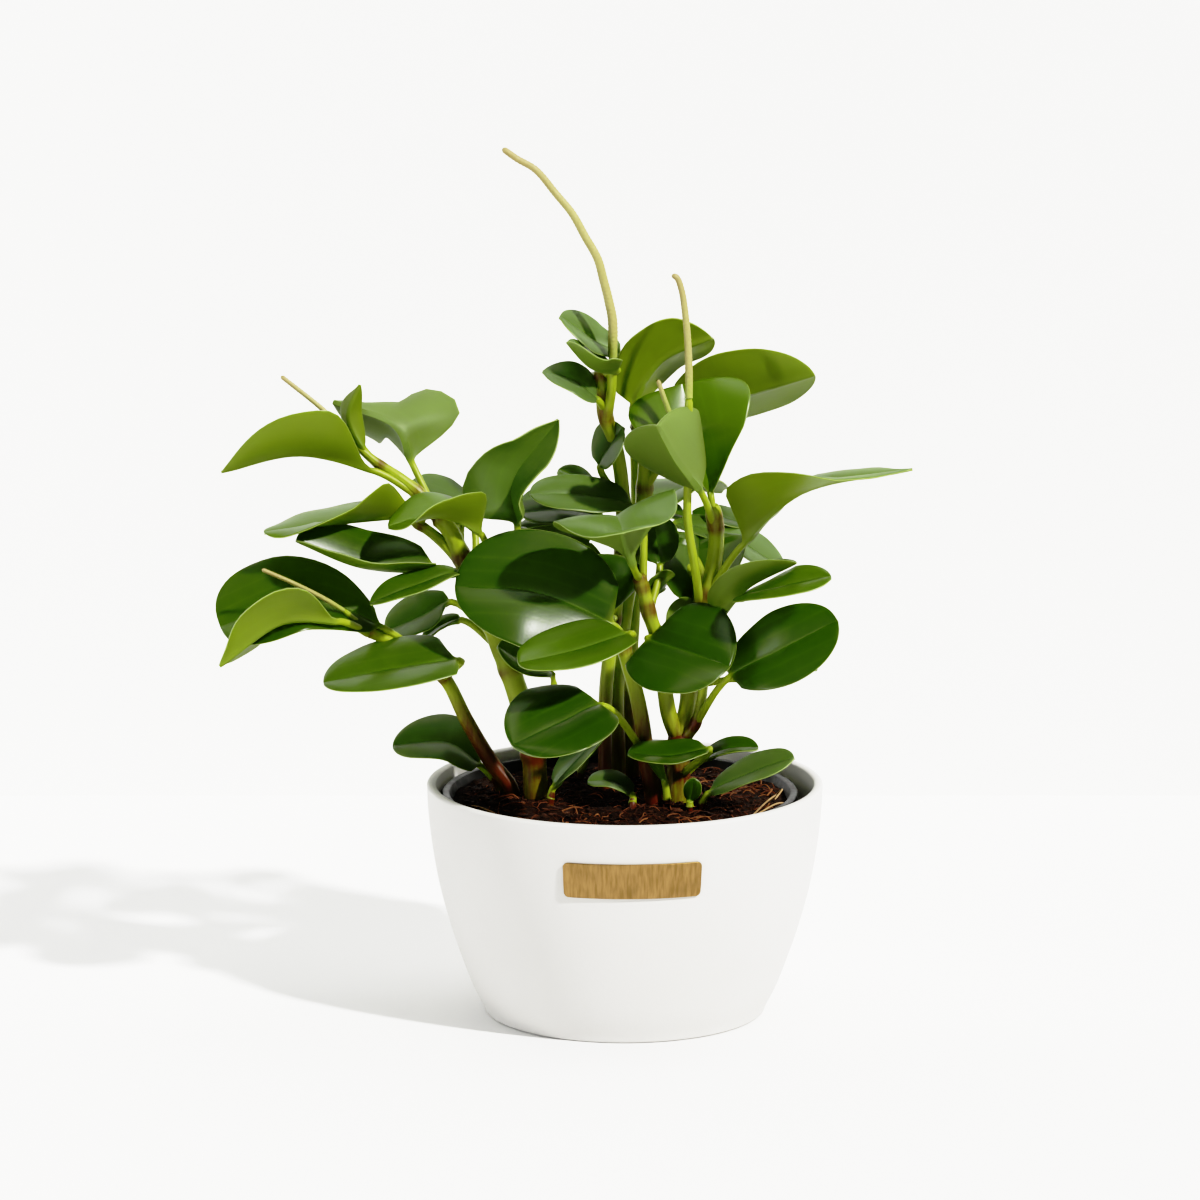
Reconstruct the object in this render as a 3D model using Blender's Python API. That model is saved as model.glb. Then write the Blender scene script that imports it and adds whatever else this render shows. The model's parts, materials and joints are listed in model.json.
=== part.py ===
# Potted baby rubber plant (Peperomia obtusifolia): a white bowl-shaped cover pot with a bare brass
# plate, a black grow pot filled with soil, leafy stems, young shoots and slim flower spikes.
# Lengths are in millimetres and become metres by the factor MM. The origin is the middle of the
# pot's foot, +Z is up, and the plate faces -Y.
from collections import namedtuple
from math import cos, pi, radians, sin, sqrt

import bmesh
import bpy
from mathutils import Vector, noise

MM = 0.001
GAP = 0.3                    # between pieces that touch

# cover pot
POT_HEIGHT = 94.5
POT_WALL = 3.7
POT_FLOOR = 5.0
POT_SIDES = 48
POT_OUTLINE = ((0, 56.5), (3, 57.7), (11, 61.7), (24, 66.6), (36, 70.6), (52.6, 75.0), (69, 77.9),
               (82, 79.4), (93.3, 80.0))
RIM_ROUND = 1.2

# black grow pot and soil, a little to the left in the cover pot
GROW_CENTRE_X = -2.0
GROW_HEIGHT = 90.5
GROW_TOP_RADIUS = 70.0
GROW_FOOT_RADIUS = 51.0
GROW_WALL = 1.2
GROW_LIP = 2.0               # how far the rolled lip stands out of the wall
GROW_LIP_DEPTH = 3.0
GROW_EDGE = 0.6              # cut off the lip's outer edge
GROW_SIDES = 40
DRAIN_RADIUS = 4.0
DRAIN_CIRCLE = 34.0
DRAIN_COUNT = 5
SOIL_TOP = 86.5
SOIL_HILL = 1.5              # the soil is higher in the middle
SOIL_BUMP = 1.2
SOIL_RINGS = 5

# brass plate
PLATE_WIDTH = 54.2
PLATE_LOW = 64.6
PLATE_HIGH = 79.0
PLATE_THICKNESS = 0.9
PLATE_CORNER = 1.5
PLATE_CENTRE_X = 2.8
PLATE_COLUMNS = 16

# stems and leaves
STEM_SIDES = 8
FOOT_LOW = 76.0              # stems reach this far down into the soil
FOOT_HIGH = 89.5             # and stand upright up to here
HOLE_FLOOR = FOOT_LOW - GAP
HOLE_GAP = GAP + 0.2         # round each foot
STEM_STEP = 12.0
BLADE_THICKNESS = 1.4
EDGE_THICKNESS = 0.8
PETIOLE_RADIUS = 1.4
RIDGE_SHARE = 0.3            # the petiole runs on under the blade over this share of it
BLADE_STATIONS = (0.0, 0.07, 0.22, 0.45, 0.7, 0.89, 1.0)
PETIOLE_STATIONS = (0.0, 0.45)
HALF_STEPS = 1               # steps from a blade's midrib to its edge
SPIKE_SIDES = 8
SPIKE_STEP = 8.0

# A leaf's root is where its petiole leaves the stem. Base, middle and tip lie along the midrib.
# Facing is the way the upper side looks. Left and right are how far each half lifts off flat, in
# degrees from the base to the tip, seen from the base with the upper side up. Belly is how far
# along the blade it is widest, point how slowly it narrows to its tip, and wedge how far along it
# has opened out of its petiole.
Leaf = namedtuple("Leaf", "root base middle tip width facing left right belly point wedge",
                  defaults=((12,), (12,), 0.56, 0.5, 0.1))

# Tubes are (radius at the start, radius at the end, points). Feet stand upright in the soil.
Stem = namedtuple("Stem", "feet tubes leaves")


def foot(x, y):
    return [(x, y, FOOT_LOW), (x, y, FOOT_HIGH)]


STEMS = {
    "stem_low_left": Stem(
        [(3.4, -46, 5)],
        [(3.4, 2.2, foot(-46, 5) + [(-54, 5, 101), (-64, 4, 119), (-72, 0, 136), (-82, -8, 147.4),
                                    (-93, -12, 154), (-103, -17, 160)]),
         (1.3, 1.1, [(-103, -17, 160), (-107, -21, 164.5), (-112, -26, 170)])],
        [Leaf((-79, -5, 145), (-96, -14, 160), (-128, -24, 175), (-161, -30, 164), 42,
              (-0.1, -0.62, 0.78), (8,), (8,), 0.68, 0.4),
         Leaf((-103, -17, 159), (-113, -33, 167), (-135.5, -45, 169), (-160, -55, 153.5), 42,
              (0, 0.6, 0.8), (15,), (15,), 0.4, 0.9, 0.45),
         Leaf((-73, -2, 138), (-66, -25, 149.5), (-92, -30, 147), (-120, -34, 142), 38,
              (0, -0.35, 0.94), (8,), (8,), 0.42),
         Leaf((-82, -8, 147), (-88, 8, 143), (-98, 22, 139), (-110, 34, 132), 32,
              (-0.2, -0.1, 0.95), (12,), (12,), 0.55)]),
    "stem_left": Stem(
        [(5.2, -36, 0)],
        [(5.2, 3.4, foot(-36, 0) + [(-37, 0, 106), (-43, 0, 130), (-50, 0, 150), (-58, 0, 170),
                                    (-66, -2, 188), (-70, -4, 198), (-75, -4, 204)]),
         (2.6, 1.8, [(-66, -2, 186), (-74, -3, 194), (-80, -4, 199), (-85, -5, 202)]),
         (2.6, 1.5, [(-75, -4, 204), (-81, -3, 212), (-91, -2, 220), (-98, 0, 224),
                     (-104, 0, 229), (-111, 0.7, 236.5)])],
        [Leaf((-84, -3, 213), (-99, -4, 222), (-130, -10, 230), (-161, -12, 223.6), 48,
              (0, -0.2, 0.98), (78, 60), (15, 10), 0.4, 1.0, 0.42),
         Leaf((-98, 0, 224), (-104, 0, 230), (-110.5, -1, 244), (-105.7, -2, 257), 12,
              (0.3, 0.9, 0.2), (40,), (40,), 0.5, 0.9),
         Leaf((-75, -4, 204), (-85, 4, 223.4), (-91.5, 4, 238.5), (-117, 8, 248.4), 54,
              (0.1, 0.95, 0.2), (20, 22, 95, 110, 110), (60, 60, 45, 40, 40), 0.33, 0.7, 0.3),
         Leaf((-82, -5, 201), (-81, -4, 204), (-112, -14, 203.5), (-143.6, -22, 200.7), 42,
              (0, -0.2, 0.98), (95, 38, 0), (0, -8), 0.38, 0.55, 0.3),
         Leaf((-64, -2, 180), (-74, -12, 184), (-104, -22, 187), (-130.6, -28, 199), 36,
              (0, -0.6, 0.8), (58, 52), (8,), 0.5),
         Leaf((-55, -2, 165), (-64, -20, 184), (-83.4, -32, 181), (-101, -38, 175), 18,
              (0, -0.3, 1), (15,), (15,), 0.56, 0.6),
         Leaf((-56, 0, 168), (-57, -18, 199), (-74, -26, 208), (-94, -30, 204.4), 36,
              (0, -0.2, 0.98), (95, 45, 5), (15, 10), 0.36, 0.6, 0.3),
         Leaf((-60, 2, 178), (-62, 14, 199), (-74, 16, 206), (-88, 16, 211), 30,
              (0, -0.3, 0.95)),
         Leaf((-52, 2, 160), (-43, -8, 199), (-45, -12, 218), (-26.5, -8, 244), 40,
              (0, -0.95, 0.3), (0, 15, 60, 60), (85, 80, 50, 40), 0.3, 0.8, 0.32),
         Leaf((-50, 3, 150), (-70, 16, 165), (-83, 17, 158.5), (-97, 18, 152), 24,
              (0.1, -0.5, 0.9)),
         Leaf((-50, 3, 148), (-66, 14, 158), (-74, 16, 155), (-82, 17, 149), 12,
              (0, -0.3, 0.95)),
         Leaf((-66, -2, 188), (-66, 14, 196), (-66, 32, 203), (-72, 48, 200), 38,
              (-0.2, 0.2, 0.95)),
         Leaf((-48, 0, 140), (-42, 18, 152), (-38, 36, 160), (-42, 54, 160), 34,
              (-0.1, 0.4, 0.9)),
         Leaf((-37, 0, 106), (-29, -9, 140), (-40, -14, 146), (-51, -18, 153.5), 18,
              (0, -0.5, 0.85))]),
    "stem_tall": Stem(
        [(2.8, -8, 14)],
        [(2.8, 2.8, foot(-8, 14) + [(-8, 15, 104), (-7.5, 16, 130), (-4, 16, 160), (-1, 14, 190),
                                    (-1, 10, 212), (-4, 6, 232), (-7.5, 4, 242), (-9, 3, 252),
                                    (-10, 2, 262)]),
         (2.0, 1.9, [(-7.5, 3, 242), (-5.5, -1, 254), (-5, -3, 268)])],
        [Leaf((-2, 12, 205), (-12, 15, 211.5), (-20, 16, 216), (-27, 17, 219), 14, (0, -0.3, 0.95)),
         Leaf((-2, 14, 186), (-8, 15, 198), (-24, 11, 204), (-43, 7, 203), 28, (0, -0.4, 0.9)),
         Leaf((-4, 15, 170), (-14, 11, 189), (-28, 8, 194.5), (-43, 8, 197), 24, (0, -0.2, 0.98),
              (60, 20), (10,)),
         Leaf((-1, 12, 207), (-10, 7, 222), (-6, 4, 231), (-0.5, 2, 239), 21, (-0.6, -0.6, 0.5)),
         Leaf((-9, 3, 252), (-2, 8, 266), (-13, 5, 274), (-26, 0, 284), 20, (0.2, -0.5, 0.85)),
         Leaf((-10, 2, 260), (-3, -3, 263), (-13, -8, 265), (-23, -12, 276), 25,
              (0.1, -0.2, 0.97), (50, 30), (15,), 0.4, 0.7),
         Leaf((-8, 3, 246), (-11, -2, 251), (-20, -6, 259), (-33, -6, 263), 18,
              (-0.2, -0.5, 0.8), (12,), (12,), 0.45, 0.8),
         Leaf((-4, 16, 158), (-6, 4, 162), (-11, -2, 174), (-14, -4, 188), 40, (0.1, -0.85, 0.4)),
         Leaf((-8, 4, 244), (-6, 18, 250), (-12, 32, 254), (-20, 44, 252), 34,
              (-0.1, 0.3, 0.95))]),
    "stem_middle": Stem(
        [(3.4, -3, 28)],
        [(3.4, 3.2, foot(-3, 28) + [(-3, 27, 102), (-3.5, 25, 126), (0, 22, 160), (5, 18, 190),
                                    (8, 15, 212), (8, 14, 230), (5, 10, 240)])],
        [Leaf((5, 10, 238), (3, 10, 245.5), (14, 8, 264.5), (34.5, 3, 275.5), 38,
              (-0.5, 0.7, 0.5), (15,), (15,)),
         Leaf((4, 19, 188), (4, 3.5, 206), (-16, -3, 212.2), (-38, -8, 213.6), 22, (0, -0.35, 0.94),
              (-5,), (20,)),
         Leaf((8, 14, 212), (17, 10, 226), (21, 8, 234), (26, 6, 241), 18, (0, -0.5, 0.8))]),
    "stem_dark": Stem(
        [(3.4, 3, 38)],
        [(3.4, 1.8, foot(3, 38) + [(2, 34, 104), (2, 32, 130), (4, 30, 160), (5, 27, 190),
                                   (4.5, 24, 214), (5, 21, 232), (12, 20, 240)])],
        [Leaf((12, 20, 238), (18, 24, 240), (48, 20, 249), (76, 12, 259), 42, (0, 0.75, 0.66),
              (15,), (15, 28), 0.45, 0.6),
         Leaf((5, 27, 186), (10, 40, 196), (24, 54, 204), (40, 62, 202), 38, (0.1, 0.2, 0.97)),
         Leaf((2, 34, 104), (-10, 42, 106), (-24, 52, 106), (-40, 62, 99), 36, (0, 0.1, 1)),
         Leaf((3, 32, 132), (14, 42, 136), (28, 52, 136), (42, 60, 130), 38, (0.1, 0.1, 1))]),
    "stem_front": Stem(
        [(3.6, 11.5, -10)],
        [(3.6, 2.8, foot(11.5, -10) + [(9, -9, 104), (7, -9, 120), (4.5, -9, 133), (1, -10, 146),
                                    (-2, -12, 158)])],
        [Leaf((-1, -11, 154), (-4, -23, 163), (-35.7, -27, 177.6), (-67.7, -29, 180.4), 50,
              (-0.1, -0.85, 0.5), (8,), (8,), 0.5),
         Leaf((-1, -11, 152), (2, -38, 163), (-20, -50, 158.5), (-42, -58, 155), 32,
              (0, -0.35, 0.94), (10,), (10,), 0.5),
         Leaf((8, -8, 108), (-9, -34, 133), (-25, -50, 130), (-44.5, -62, 123), 42,
              (-0.15, -0.6, 0.75), (8,), (8,), 0.5)]),
    "stem_right": Stem(
        [(5.0, 21, -6)],
        [(5.0, 4.4, foot(21, -6) + [(21.5, -5, 98), (22.5, -4, 115)]),
         (3.4, 2.6, [(22, -4, 112), (18, -5, 122), (16, -6, 134), (14, -7, 152), (10, -8, 164),
                     (8, -8, 172), (5.5, -9, 181)]),
         (3.6, 3.0, [(22, -4, 112), (25, -2, 124), (27, 0, 140), (30, 2, 158), (33, 1, 172),
                     (35, 0, 180), (36.5, -2, 191), (36.5, -4, 198), (35, -7, 209)]),
         (2.2, 1.8, [(24, -6, 113), (28.5, -8, 120), (31, -9, 131), (32, -8, 144)]),
         (1.8, 1.6, [(30, 0, 168), (28, -8, 184), (25, -13, 204), (25, -16, 222), (25, -18, 240),
                     (25.3, -18, 254)]),
         (1.3, 1.2, [(25, -17, 230), (20, -16, 241), (17.5, -15, 248)])],
        [Leaf((35, -6, 204), (34.5, -8, 212), (29, -3, 235), (23, 6, 256), 50, (0, -0.85, 0.5),
              (60, 25, 0), (60, 25, 0), 0.78, 0.3),
         Leaf((36, -5, 200), (30.3, -17, 216), (20, -30.5, 231.5), (12.5, -38, 247), 52,
              (-0.1, 0.8, 0.5), (62,), (40,), 0.55, 0.6),
         Leaf((7, -8, 176), (10, -2, 207), (16, -4, 206), (23, -5, 204), 14, (0, -0.3, 0.95)),
         Leaf((5.5, -9, 180), (3.5, -26, 187), (-3.5, -38, 210), (-1, -57, 207.5), 50,
              (0, 0.7, 0.7), (45, 25, 19), (40, 0, -25), 0.6, 0.45, 0.55),
         Leaf((10, -8, 166), (14, 4, 182), (12.5, 7, 194), (11, 7, 202), 18, (0, -0.8, 0.5)),
         Leaf((9, -8, 168), (11, 2, 170), (15, 3, 175), (20, 4, 179), 14, (0, 0.5, 0.8)),
         Leaf((14, -7, 150), (17, 2, 152), (22, 4, 158), (27, 4, 169), 14, (0, 0.7, 0.6)),
         Leaf((30, 2, 158), (27, 8, 164), (29.5, 15, 178), (30.5, 28, 190), 44, (0, -0.8, 0.6),
              (50, 20), (50, 20), 0.6, 0.4),
         Leaf((33, 1, 170), (18, 35, 193), (42, 35, 188), (64, 30, 175.5), 26, (0.2, -0.25, 0.95),
              (8,), (8,)),
         Leaf((33, 1, 172), (28, 44, 194), (38, 46, 194), (48, 45, 191), 18, (0, -0.2, 0.98)),
         Leaf((33, 1, 170), (45.7, -10, 192), (70, -22, 217), (113.6, -30, 228), 40, (0, -0.05, 1),
              (5,), (95, 60, 10, 0), 0.28, 0.9, 0.2),
         Leaf((31, 2, 160), (36, -10, 163), (50, -20, 179), (68, -28, 190), 22, (0, -0.2, 0.98),
              (20,), (85, 60), 0.4, 0.7),
         Leaf((33, 0, 163), (44, -16, 172.5), (63.4, -35, 181.5), (81.5, -38, 186), 24,
              (0, -0.35, 0.94), (8,), (8,)),
         Leaf((13, -7, 155), (9, -14, 156), (25, -27, 153), (41.5, -36, 149), 48,
              (-0.15, -0.65, 0.78), (6,), (6,), 0.45),
         Leaf((28.5, -8, 120), (41, -20, 141), (62.3, -28, 154.5), (84.5, -32, 167), 32,
              (0, -0.8, 0.6), (5,), (5,)),
         Leaf((24, -8, 100), (34, -20, 112), (18, -24, 110), (1, -24, 111), 20, (0, -0.3, 0.95)),
         Leaf((24, -4, 98), (32, -2, 104), (42, -2, 108), (54, -2, 108.5), 16, (0, -0.2, 0.98)),
         Leaf((27, 0, 134), (42, 2, 136), (58, 14, 138), (74, 26, 134), 36, (0.1, 0.1, 1)),
         Leaf((27, 0, 140), (34, 14, 142), (46, 28, 142), (58, 40, 136), 38, (0.1, 0.15, 1))]),
    "shoot_left": Stem(
        [(1.7, -51, 10)],
        [(1.7, 1.5, foot(-51, 10) + [(-54, 9, 95)])],
        [Leaf((-52, 10, 92), (-58, 8, 98.5), (-71, 7, 108.5), (-94, 8, 107), 30, (-0.1, -0.4, 0.9),
              (10,), (10,), 0.5)]),
    "shoot_middle": Stem(
        [(1.5, -30, -13)],
        [(1.5, 1.3, foot(-30, -13) + [(-29, -13, 93)])],
        [Leaf((-30, -13, 90), (-29, -12, 94), (-19, -13, 106), (-7.5, -14, 117), 15,
              (-0.6, -0.5, 0.6), (20,), (20,))]),
    "shoot_back": Stem(
        [(1.5, -18, 30)],
        [(1.5, 1.3, foot(-18, 30) + [(-17, 30, 94)])],
        [Leaf((-18, 30, 91), (-16, 30, 96), (-17, 28, 106), (-18, 26, 116), 18,
              (0.4, -0.8, 0.4))]),
    "shoot_front": Stem(
        [(1.4, 3, -22)],
        [(1.4, 1.3, foot(3, -22) + [(3, -21, 92)])],
        [Leaf((3, -22, 90), (3, -19, 93), (-5, -18, 98), (-15, -18, 98), 15, (0, -0.3, 0.95))]),
    "shoot_right": Stem(
        [(1.5, 31, -20)],
        [(1.5, 1.4, foot(31, -20) + [(32, -21, 92)])],
        [Leaf((31, -20, 90), (33, -22, 94), (50, -27, 103.5), (67.5, -31, 111), 21,
              (0, -0.35, 0.94), (10,), (10,))]),
    "shoot_yellow": Stem(
        [(1.2, 17, -14)],
        [(1.2, 1.1, foot(17, -14) + [(16.5, -14, 93)])],
        [Leaf((17, -14, 90), (16, -14, 97), (12, -14, 106), (7, -14, 114), 6,
              (-0.6, -0.5, 0.6))]),
    "shoot_round": Stem(
        [(1.2, 26, -22)],
        [(1.2, 1.0, foot(26, -22) + [(26, -22, 91)])],
        [Leaf((26, -22, 89), (26, -22, 91), (27, -23, 96), (27.5, -24, 101), 7, (0, -0.9, 0.2))]),
}

# Flower spikes stand on their stalks with a small gap: (radius at the foot, radius at the tip,
# points from the end of the stalk).
SPIKES = {
    "flower_spike_tall": (2.0, 1.3, [(-5, -3, 268), (-5, -3, 283), (-6.5, -3, 291), (-8.5, -3, 299),
                                     (-11, -3, 308), (-16, -3, 317), (-21, -3, 326),
                                     (-27.5, -3, 334), (-35.5, -3, 343.5), (-43, -3, 348),
                                     (-48.6, -3, 352)]),
    "flower_spike_right": (1.6, 1.2, [(25.3, -18, 254), (25.2, -17, 267), (24.6, -16, 279),
                                      (23.5, -15, 290), (22.3, -14, 297), (20.4, -14, 302),
                                      (18.4, -14, 303)]),
    "flower_spike_left": (1.1, 0.9, [(-111, 0.7, 236.5), (-120.5, 2, 246), (-137.5, 4, 259.5)]),
    "flower_spike_low": (1.0, 0.8, [(-112, -26, 170), (-120, -33, 176.5), (-131, -39, 183.5),
                                    (-143.5, -43, 190)]),
    "flower_spike_young": (1.2, 0.9, [(17.5, -15, 248), (15, -14.5, 255), (13, -14, 261)]),
}


POT_MATERIAL = ("matte_white", (0.82, 0.81, 0.79), 0.55, 0.0)
GROW_MATERIAL = ("black_plastic", (0.02, 0.02, 0.02), 0.4, 0.0)
SOIL_MATERIAL = ("soil", (0.03, 0.015, 0.008), 0.95, 0.0)
BRASS_MATERIAL = ("brushed_brass", (0.30, 0.18, 0.06), 0.35, 1.0)
LEAF_MATERIAL = ("leaf_green", (0.05, 0.16, 0.01), 0.3, 0.0)
SHOOT_MATERIAL = ("young_leaf_green", (0.04, 0.10, 0.02), 0.35, 0.0)
SPIKE_MATERIAL = ("flower_spike_cream", (0.45, 0.42, 0.16), 0.6, 0.0)


def clear_scene():
    for item in list(bpy.data.objects):
        bpy.data.objects.remove(item, do_unlink=True)


def material(spec):
    name, colour, roughness, metallic = spec
    if name in bpy.data.materials:
        return bpy.data.materials[name]
    finish = bpy.data.materials.new(name)
    finish.use_nodes = True
    shader = finish.node_tree.nodes["Principled BSDF"]
    shader.inputs["Base Color"].default_value = (*colour, 1.0)
    shader.inputs["Roughness"].default_value = roughness
    shader.inputs["Metallic"].default_value = metallic
    return finish


def mesh_object(name, points, faces, spec):
    """An object from points in millimetres, its faces pointing out."""
    mesh = bpy.data.meshes.new(name)
    mesh.from_pydata([tuple(value * MM for value in point) for point in points], [], faces)
    shape = bmesh.new()
    shape.from_mesh(mesh)
    bmesh.ops.recalc_face_normals(shape, faces=shape.faces)
    shape.to_mesh(mesh)
    shape.free()
    mesh.materials.append(material(spec))
    mesh.shade_smooth()
    mesh.set_sharp_from_angle(angle=radians(40))
    item = bpy.data.objects.new(name, mesh)
    bpy.context.scene.collection.objects.link(item)
    return item


def apply_modifiers(item):
    graph = bpy.context.evaluated_depsgraph_get()
    mesh = bpy.data.meshes.new_from_object(item.evaluated_get(graph))
    item.modifiers.clear()
    item.data = mesh


def turned(name, outline, sides, centre_x, spec):
    """A solid turned round the vertical; the outline runs from axis to axis."""
    points = []
    rings = []
    for radius, height in outline:
        if radius == 0:
            rings.append([len(points)])
            points.append((centre_x, 0, height))
            continue
        rings.append(list(range(len(points), len(points) + sides)))
        points += [(centre_x + radius * cos(2 * pi * n / sides), radius * sin(2 * pi * n / sides),
                    height) for n in range(sides)]
    faces = []
    for low, high in zip(rings, rings[1:]):
        for n in range(sides):
            m = (n + 1) % sides
            if len(low) == 1:
                faces.append((low[0], high[m], high[n]))
            elif len(high) == 1:
                faces.append((low[n], low[m], high[0]))
            else:
                faces.append((low[n], low[m], high[m], high[n]))
    return mesh_object(name, points, faces, spec)


def pot_radius(height):
    """The cover pot's outer radius at a height."""
    for (z0, r0), (z1, r1) in zip(POT_OUTLINE, POT_OUTLINE[1:]):
        if height <= z1:
            return r0 + (r1 - r0) * (height - z0) / (z1 - z0)
    return POT_OUTLINE[-1][1]


def cover_pot():
    outside = [(0, 0)] + [(radius, height) for height, radius in POT_OUTLINE]
    rim = [(POT_OUTLINE[-1][1] - RIM_ROUND * 0.3, POT_HEIGHT - RIM_ROUND * 0.3),
           (POT_OUTLINE[-1][1] - RIM_ROUND, POT_HEIGHT),
           (POT_OUTLINE[-1][1] - POT_WALL + RIM_ROUND, POT_HEIGHT),
           (POT_OUTLINE[-1][1] - POT_WALL, POT_HEIGHT - RIM_ROUND)]
    inside = [(radius - POT_WALL, height) for height, radius in reversed(POT_OUTLINE[2:-1])]
    inside += [(pot_radius(POT_FLOOR) - POT_WALL - 1, POT_FLOOR), (0, POT_FLOOR)]
    return turned("cover_pot", outside + rim + inside, POT_SIDES, 0, POT_MATERIAL)


def grow_radius(height):
    """The grow pot's outer radius at a height above the table."""
    share = (height - POT_FLOOR - GAP) / (GROW_HEIGHT - POT_FLOOR - GAP)
    return GROW_FOOT_RADIUS + (GROW_TOP_RADIUS - GROW_FOOT_RADIUS) * share


def cylinder(name, x, y, low, high, radius, sides):
    """A solid that cuts a round hole."""
    points = [(x + radius * cos(2 * pi * n / sides), y + radius * sin(2 * pi * n / sides), z)
              for z in (low, high) for n in range(sides)]
    faces = [(n, (n + 1) % sides, sides + (n + 1) % sides, sides + n) for n in range(sides)]
    faces += [tuple(reversed(range(sides))), tuple(range(sides, 2 * sides))]
    item = mesh_object(name, points, faces, SOIL_MATERIAL)
    item.hide_render = True
    item.display_type = "WIRE"
    return item


def cut_with(item, cutters):
    """Cuts the cutters out of an object, then removes them."""
    group = bpy.data.collections.new(item.name + "_cutters")
    bpy.context.scene.collection.children.link(group)
    for cutter in cutters:
        bpy.context.scene.collection.objects.unlink(cutter)
        group.objects.link(cutter)
    boolean = item.modifiers.new("cut", "BOOLEAN")
    boolean.operation = "DIFFERENCE"
    boolean.operand_type = "COLLECTION"
    boolean.collection = group
    boolean.solver = "EXACT"
    apply_modifiers(item)
    for cutter in cutters:
        bpy.data.objects.remove(cutter, do_unlink=True)
    bpy.data.collections.remove(group)


def grow_pot():
    foot_z = POT_FLOOR + GAP
    lip_z = GROW_HEIGHT - GROW_LIP_DEPTH
    outline = [(0, foot_z), (GROW_FOOT_RADIUS - 1, foot_z), (grow_radius(foot_z + 1), foot_z + 1),
               (grow_radius(lip_z), lip_z),
               (grow_radius(lip_z) + GROW_LIP, lip_z),
               (GROW_TOP_RADIUS + GROW_LIP, GROW_HEIGHT - GROW_EDGE),
               (GROW_TOP_RADIUS + GROW_LIP - GROW_EDGE, GROW_HEIGHT),
               (GROW_TOP_RADIUS - GROW_WALL, GROW_HEIGHT),
               (GROW_FOOT_RADIUS - GROW_WALL, foot_z + GROW_WALL), (0, foot_z + GROW_WALL)]
    pot = turned("grow_pot", outline, GROW_SIDES, GROW_CENTRE_X, GROW_MATERIAL)
    holes = []
    for n in range(DRAIN_COUNT):
        angle = 2 * pi * n / DRAIN_COUNT
        holes.append(cylinder("drain_hole", GROW_CENTRE_X + DRAIN_CIRCLE * cos(angle),
                              DRAIN_CIRCLE * sin(angle), foot_z - 2, foot_z + GROW_WALL + 2,
                              DRAIN_RADIUS, 12))
    cut_with(pot, holes)
    return pot


def soil():
    """Soil that fills the grow pot, uneven on top, with a plain hole for each stem."""
    floor_z = POT_FLOOR + 2 * GAP + GROW_WALL
    top_radius = grow_radius(SOIL_TOP) - GROW_WALL - GAP
    low_radius = grow_radius(floor_z) - GROW_WALL - GAP
    points = [(GROW_CENTRE_X, 0, floor_z)]
    rings = [[0]]
    outline = [(low_radius, floor_z, 0)]
    outline += [(top_radius * (SOIL_RINGS - n) / SOIL_RINGS, SOIL_TOP, 1) for n in range(SOIL_RINGS)]
    for radius, height, bumpy in outline:
        rings.append(list(range(len(points), len(points) + GROW_SIDES)))
        for n in range(GROW_SIDES):
            angle = 2 * pi * n / GROW_SIDES
            x = GROW_CENTRE_X + radius * cos(angle)
            y = radius * sin(angle)
            z = height
            if bumpy:
                z += SOIL_HILL * (1 - (radius / top_radius) ** 2)
                z += SOIL_BUMP * noise.noise(Vector((x, y, 0)) / 9.0)
            points.append((x, y, z))
    rings.append([len(points)])
    points.append((GROW_CENTRE_X, 0, SOIL_TOP + SOIL_HILL))
    faces = []
    for low, high in zip(rings, rings[1:]):
        for n in range(GROW_SIDES):
            m = (n + 1) % GROW_SIDES
            if len(low) == 1:
                faces.append((low[0], high[m], high[n]))
            elif len(high) == 1:
                faces.append((low[n], low[m], high[0]))
            else:
                faces += [(low[n], low[m], high[m]), (low[n], high[m], high[n])]
    body = mesh_object("soil", points, faces, SOIL_MATERIAL)
    holes = [cylinder("stem_hole", x, y, HOLE_FLOOR, SOIL_TOP + 10, radius + HOLE_GAP, 12)
             for stem in STEMS.values() for radius, x, y in stem.feet]
    cut_with(body, holes)
    return body


def brass_plate():
    """A thin plate with cut corners that follows the pot's wall."""
    points = []
    columns = []
    end = PLATE_WIDTH / 2
    reach = end - PLATE_CORNER
    places = [(reach * (2 * n / PLATE_COLUMNS - 1), 0.0) for n in range(PLATE_COLUMNS + 1)]
    for across, cut in [(-end, PLATE_CORNER)] + places + [(end, PLATE_CORNER)]:
        column = []
        for height, depth in ((PLATE_LOW + cut, GAP), (PLATE_HIGH - cut, GAP),
                              (PLATE_HIGH - cut, GAP + PLATE_THICKNESS),
                              (PLATE_LOW + cut, GAP + PLATE_THICKNESS)):
            radius = pot_radius(height) + depth
            angle = (PLATE_CENTRE_X + across) / pot_radius(PLATE_LOW) - pi / 2
            column.append(len(points))
            points.append((radius * cos(angle), radius * sin(angle), height))
        columns.append(column)
    faces = [tuple(columns[0]), tuple(reversed(columns[-1]))]
    for left, right in zip(columns, columns[1:]):
        for n in range(4):
            m = (n + 1) % 4
            faces.append((left[n], left[m], right[m], right[n]))
    return mesh_object("brass_plate", points, faces, BRASS_MATERIAL)


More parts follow.
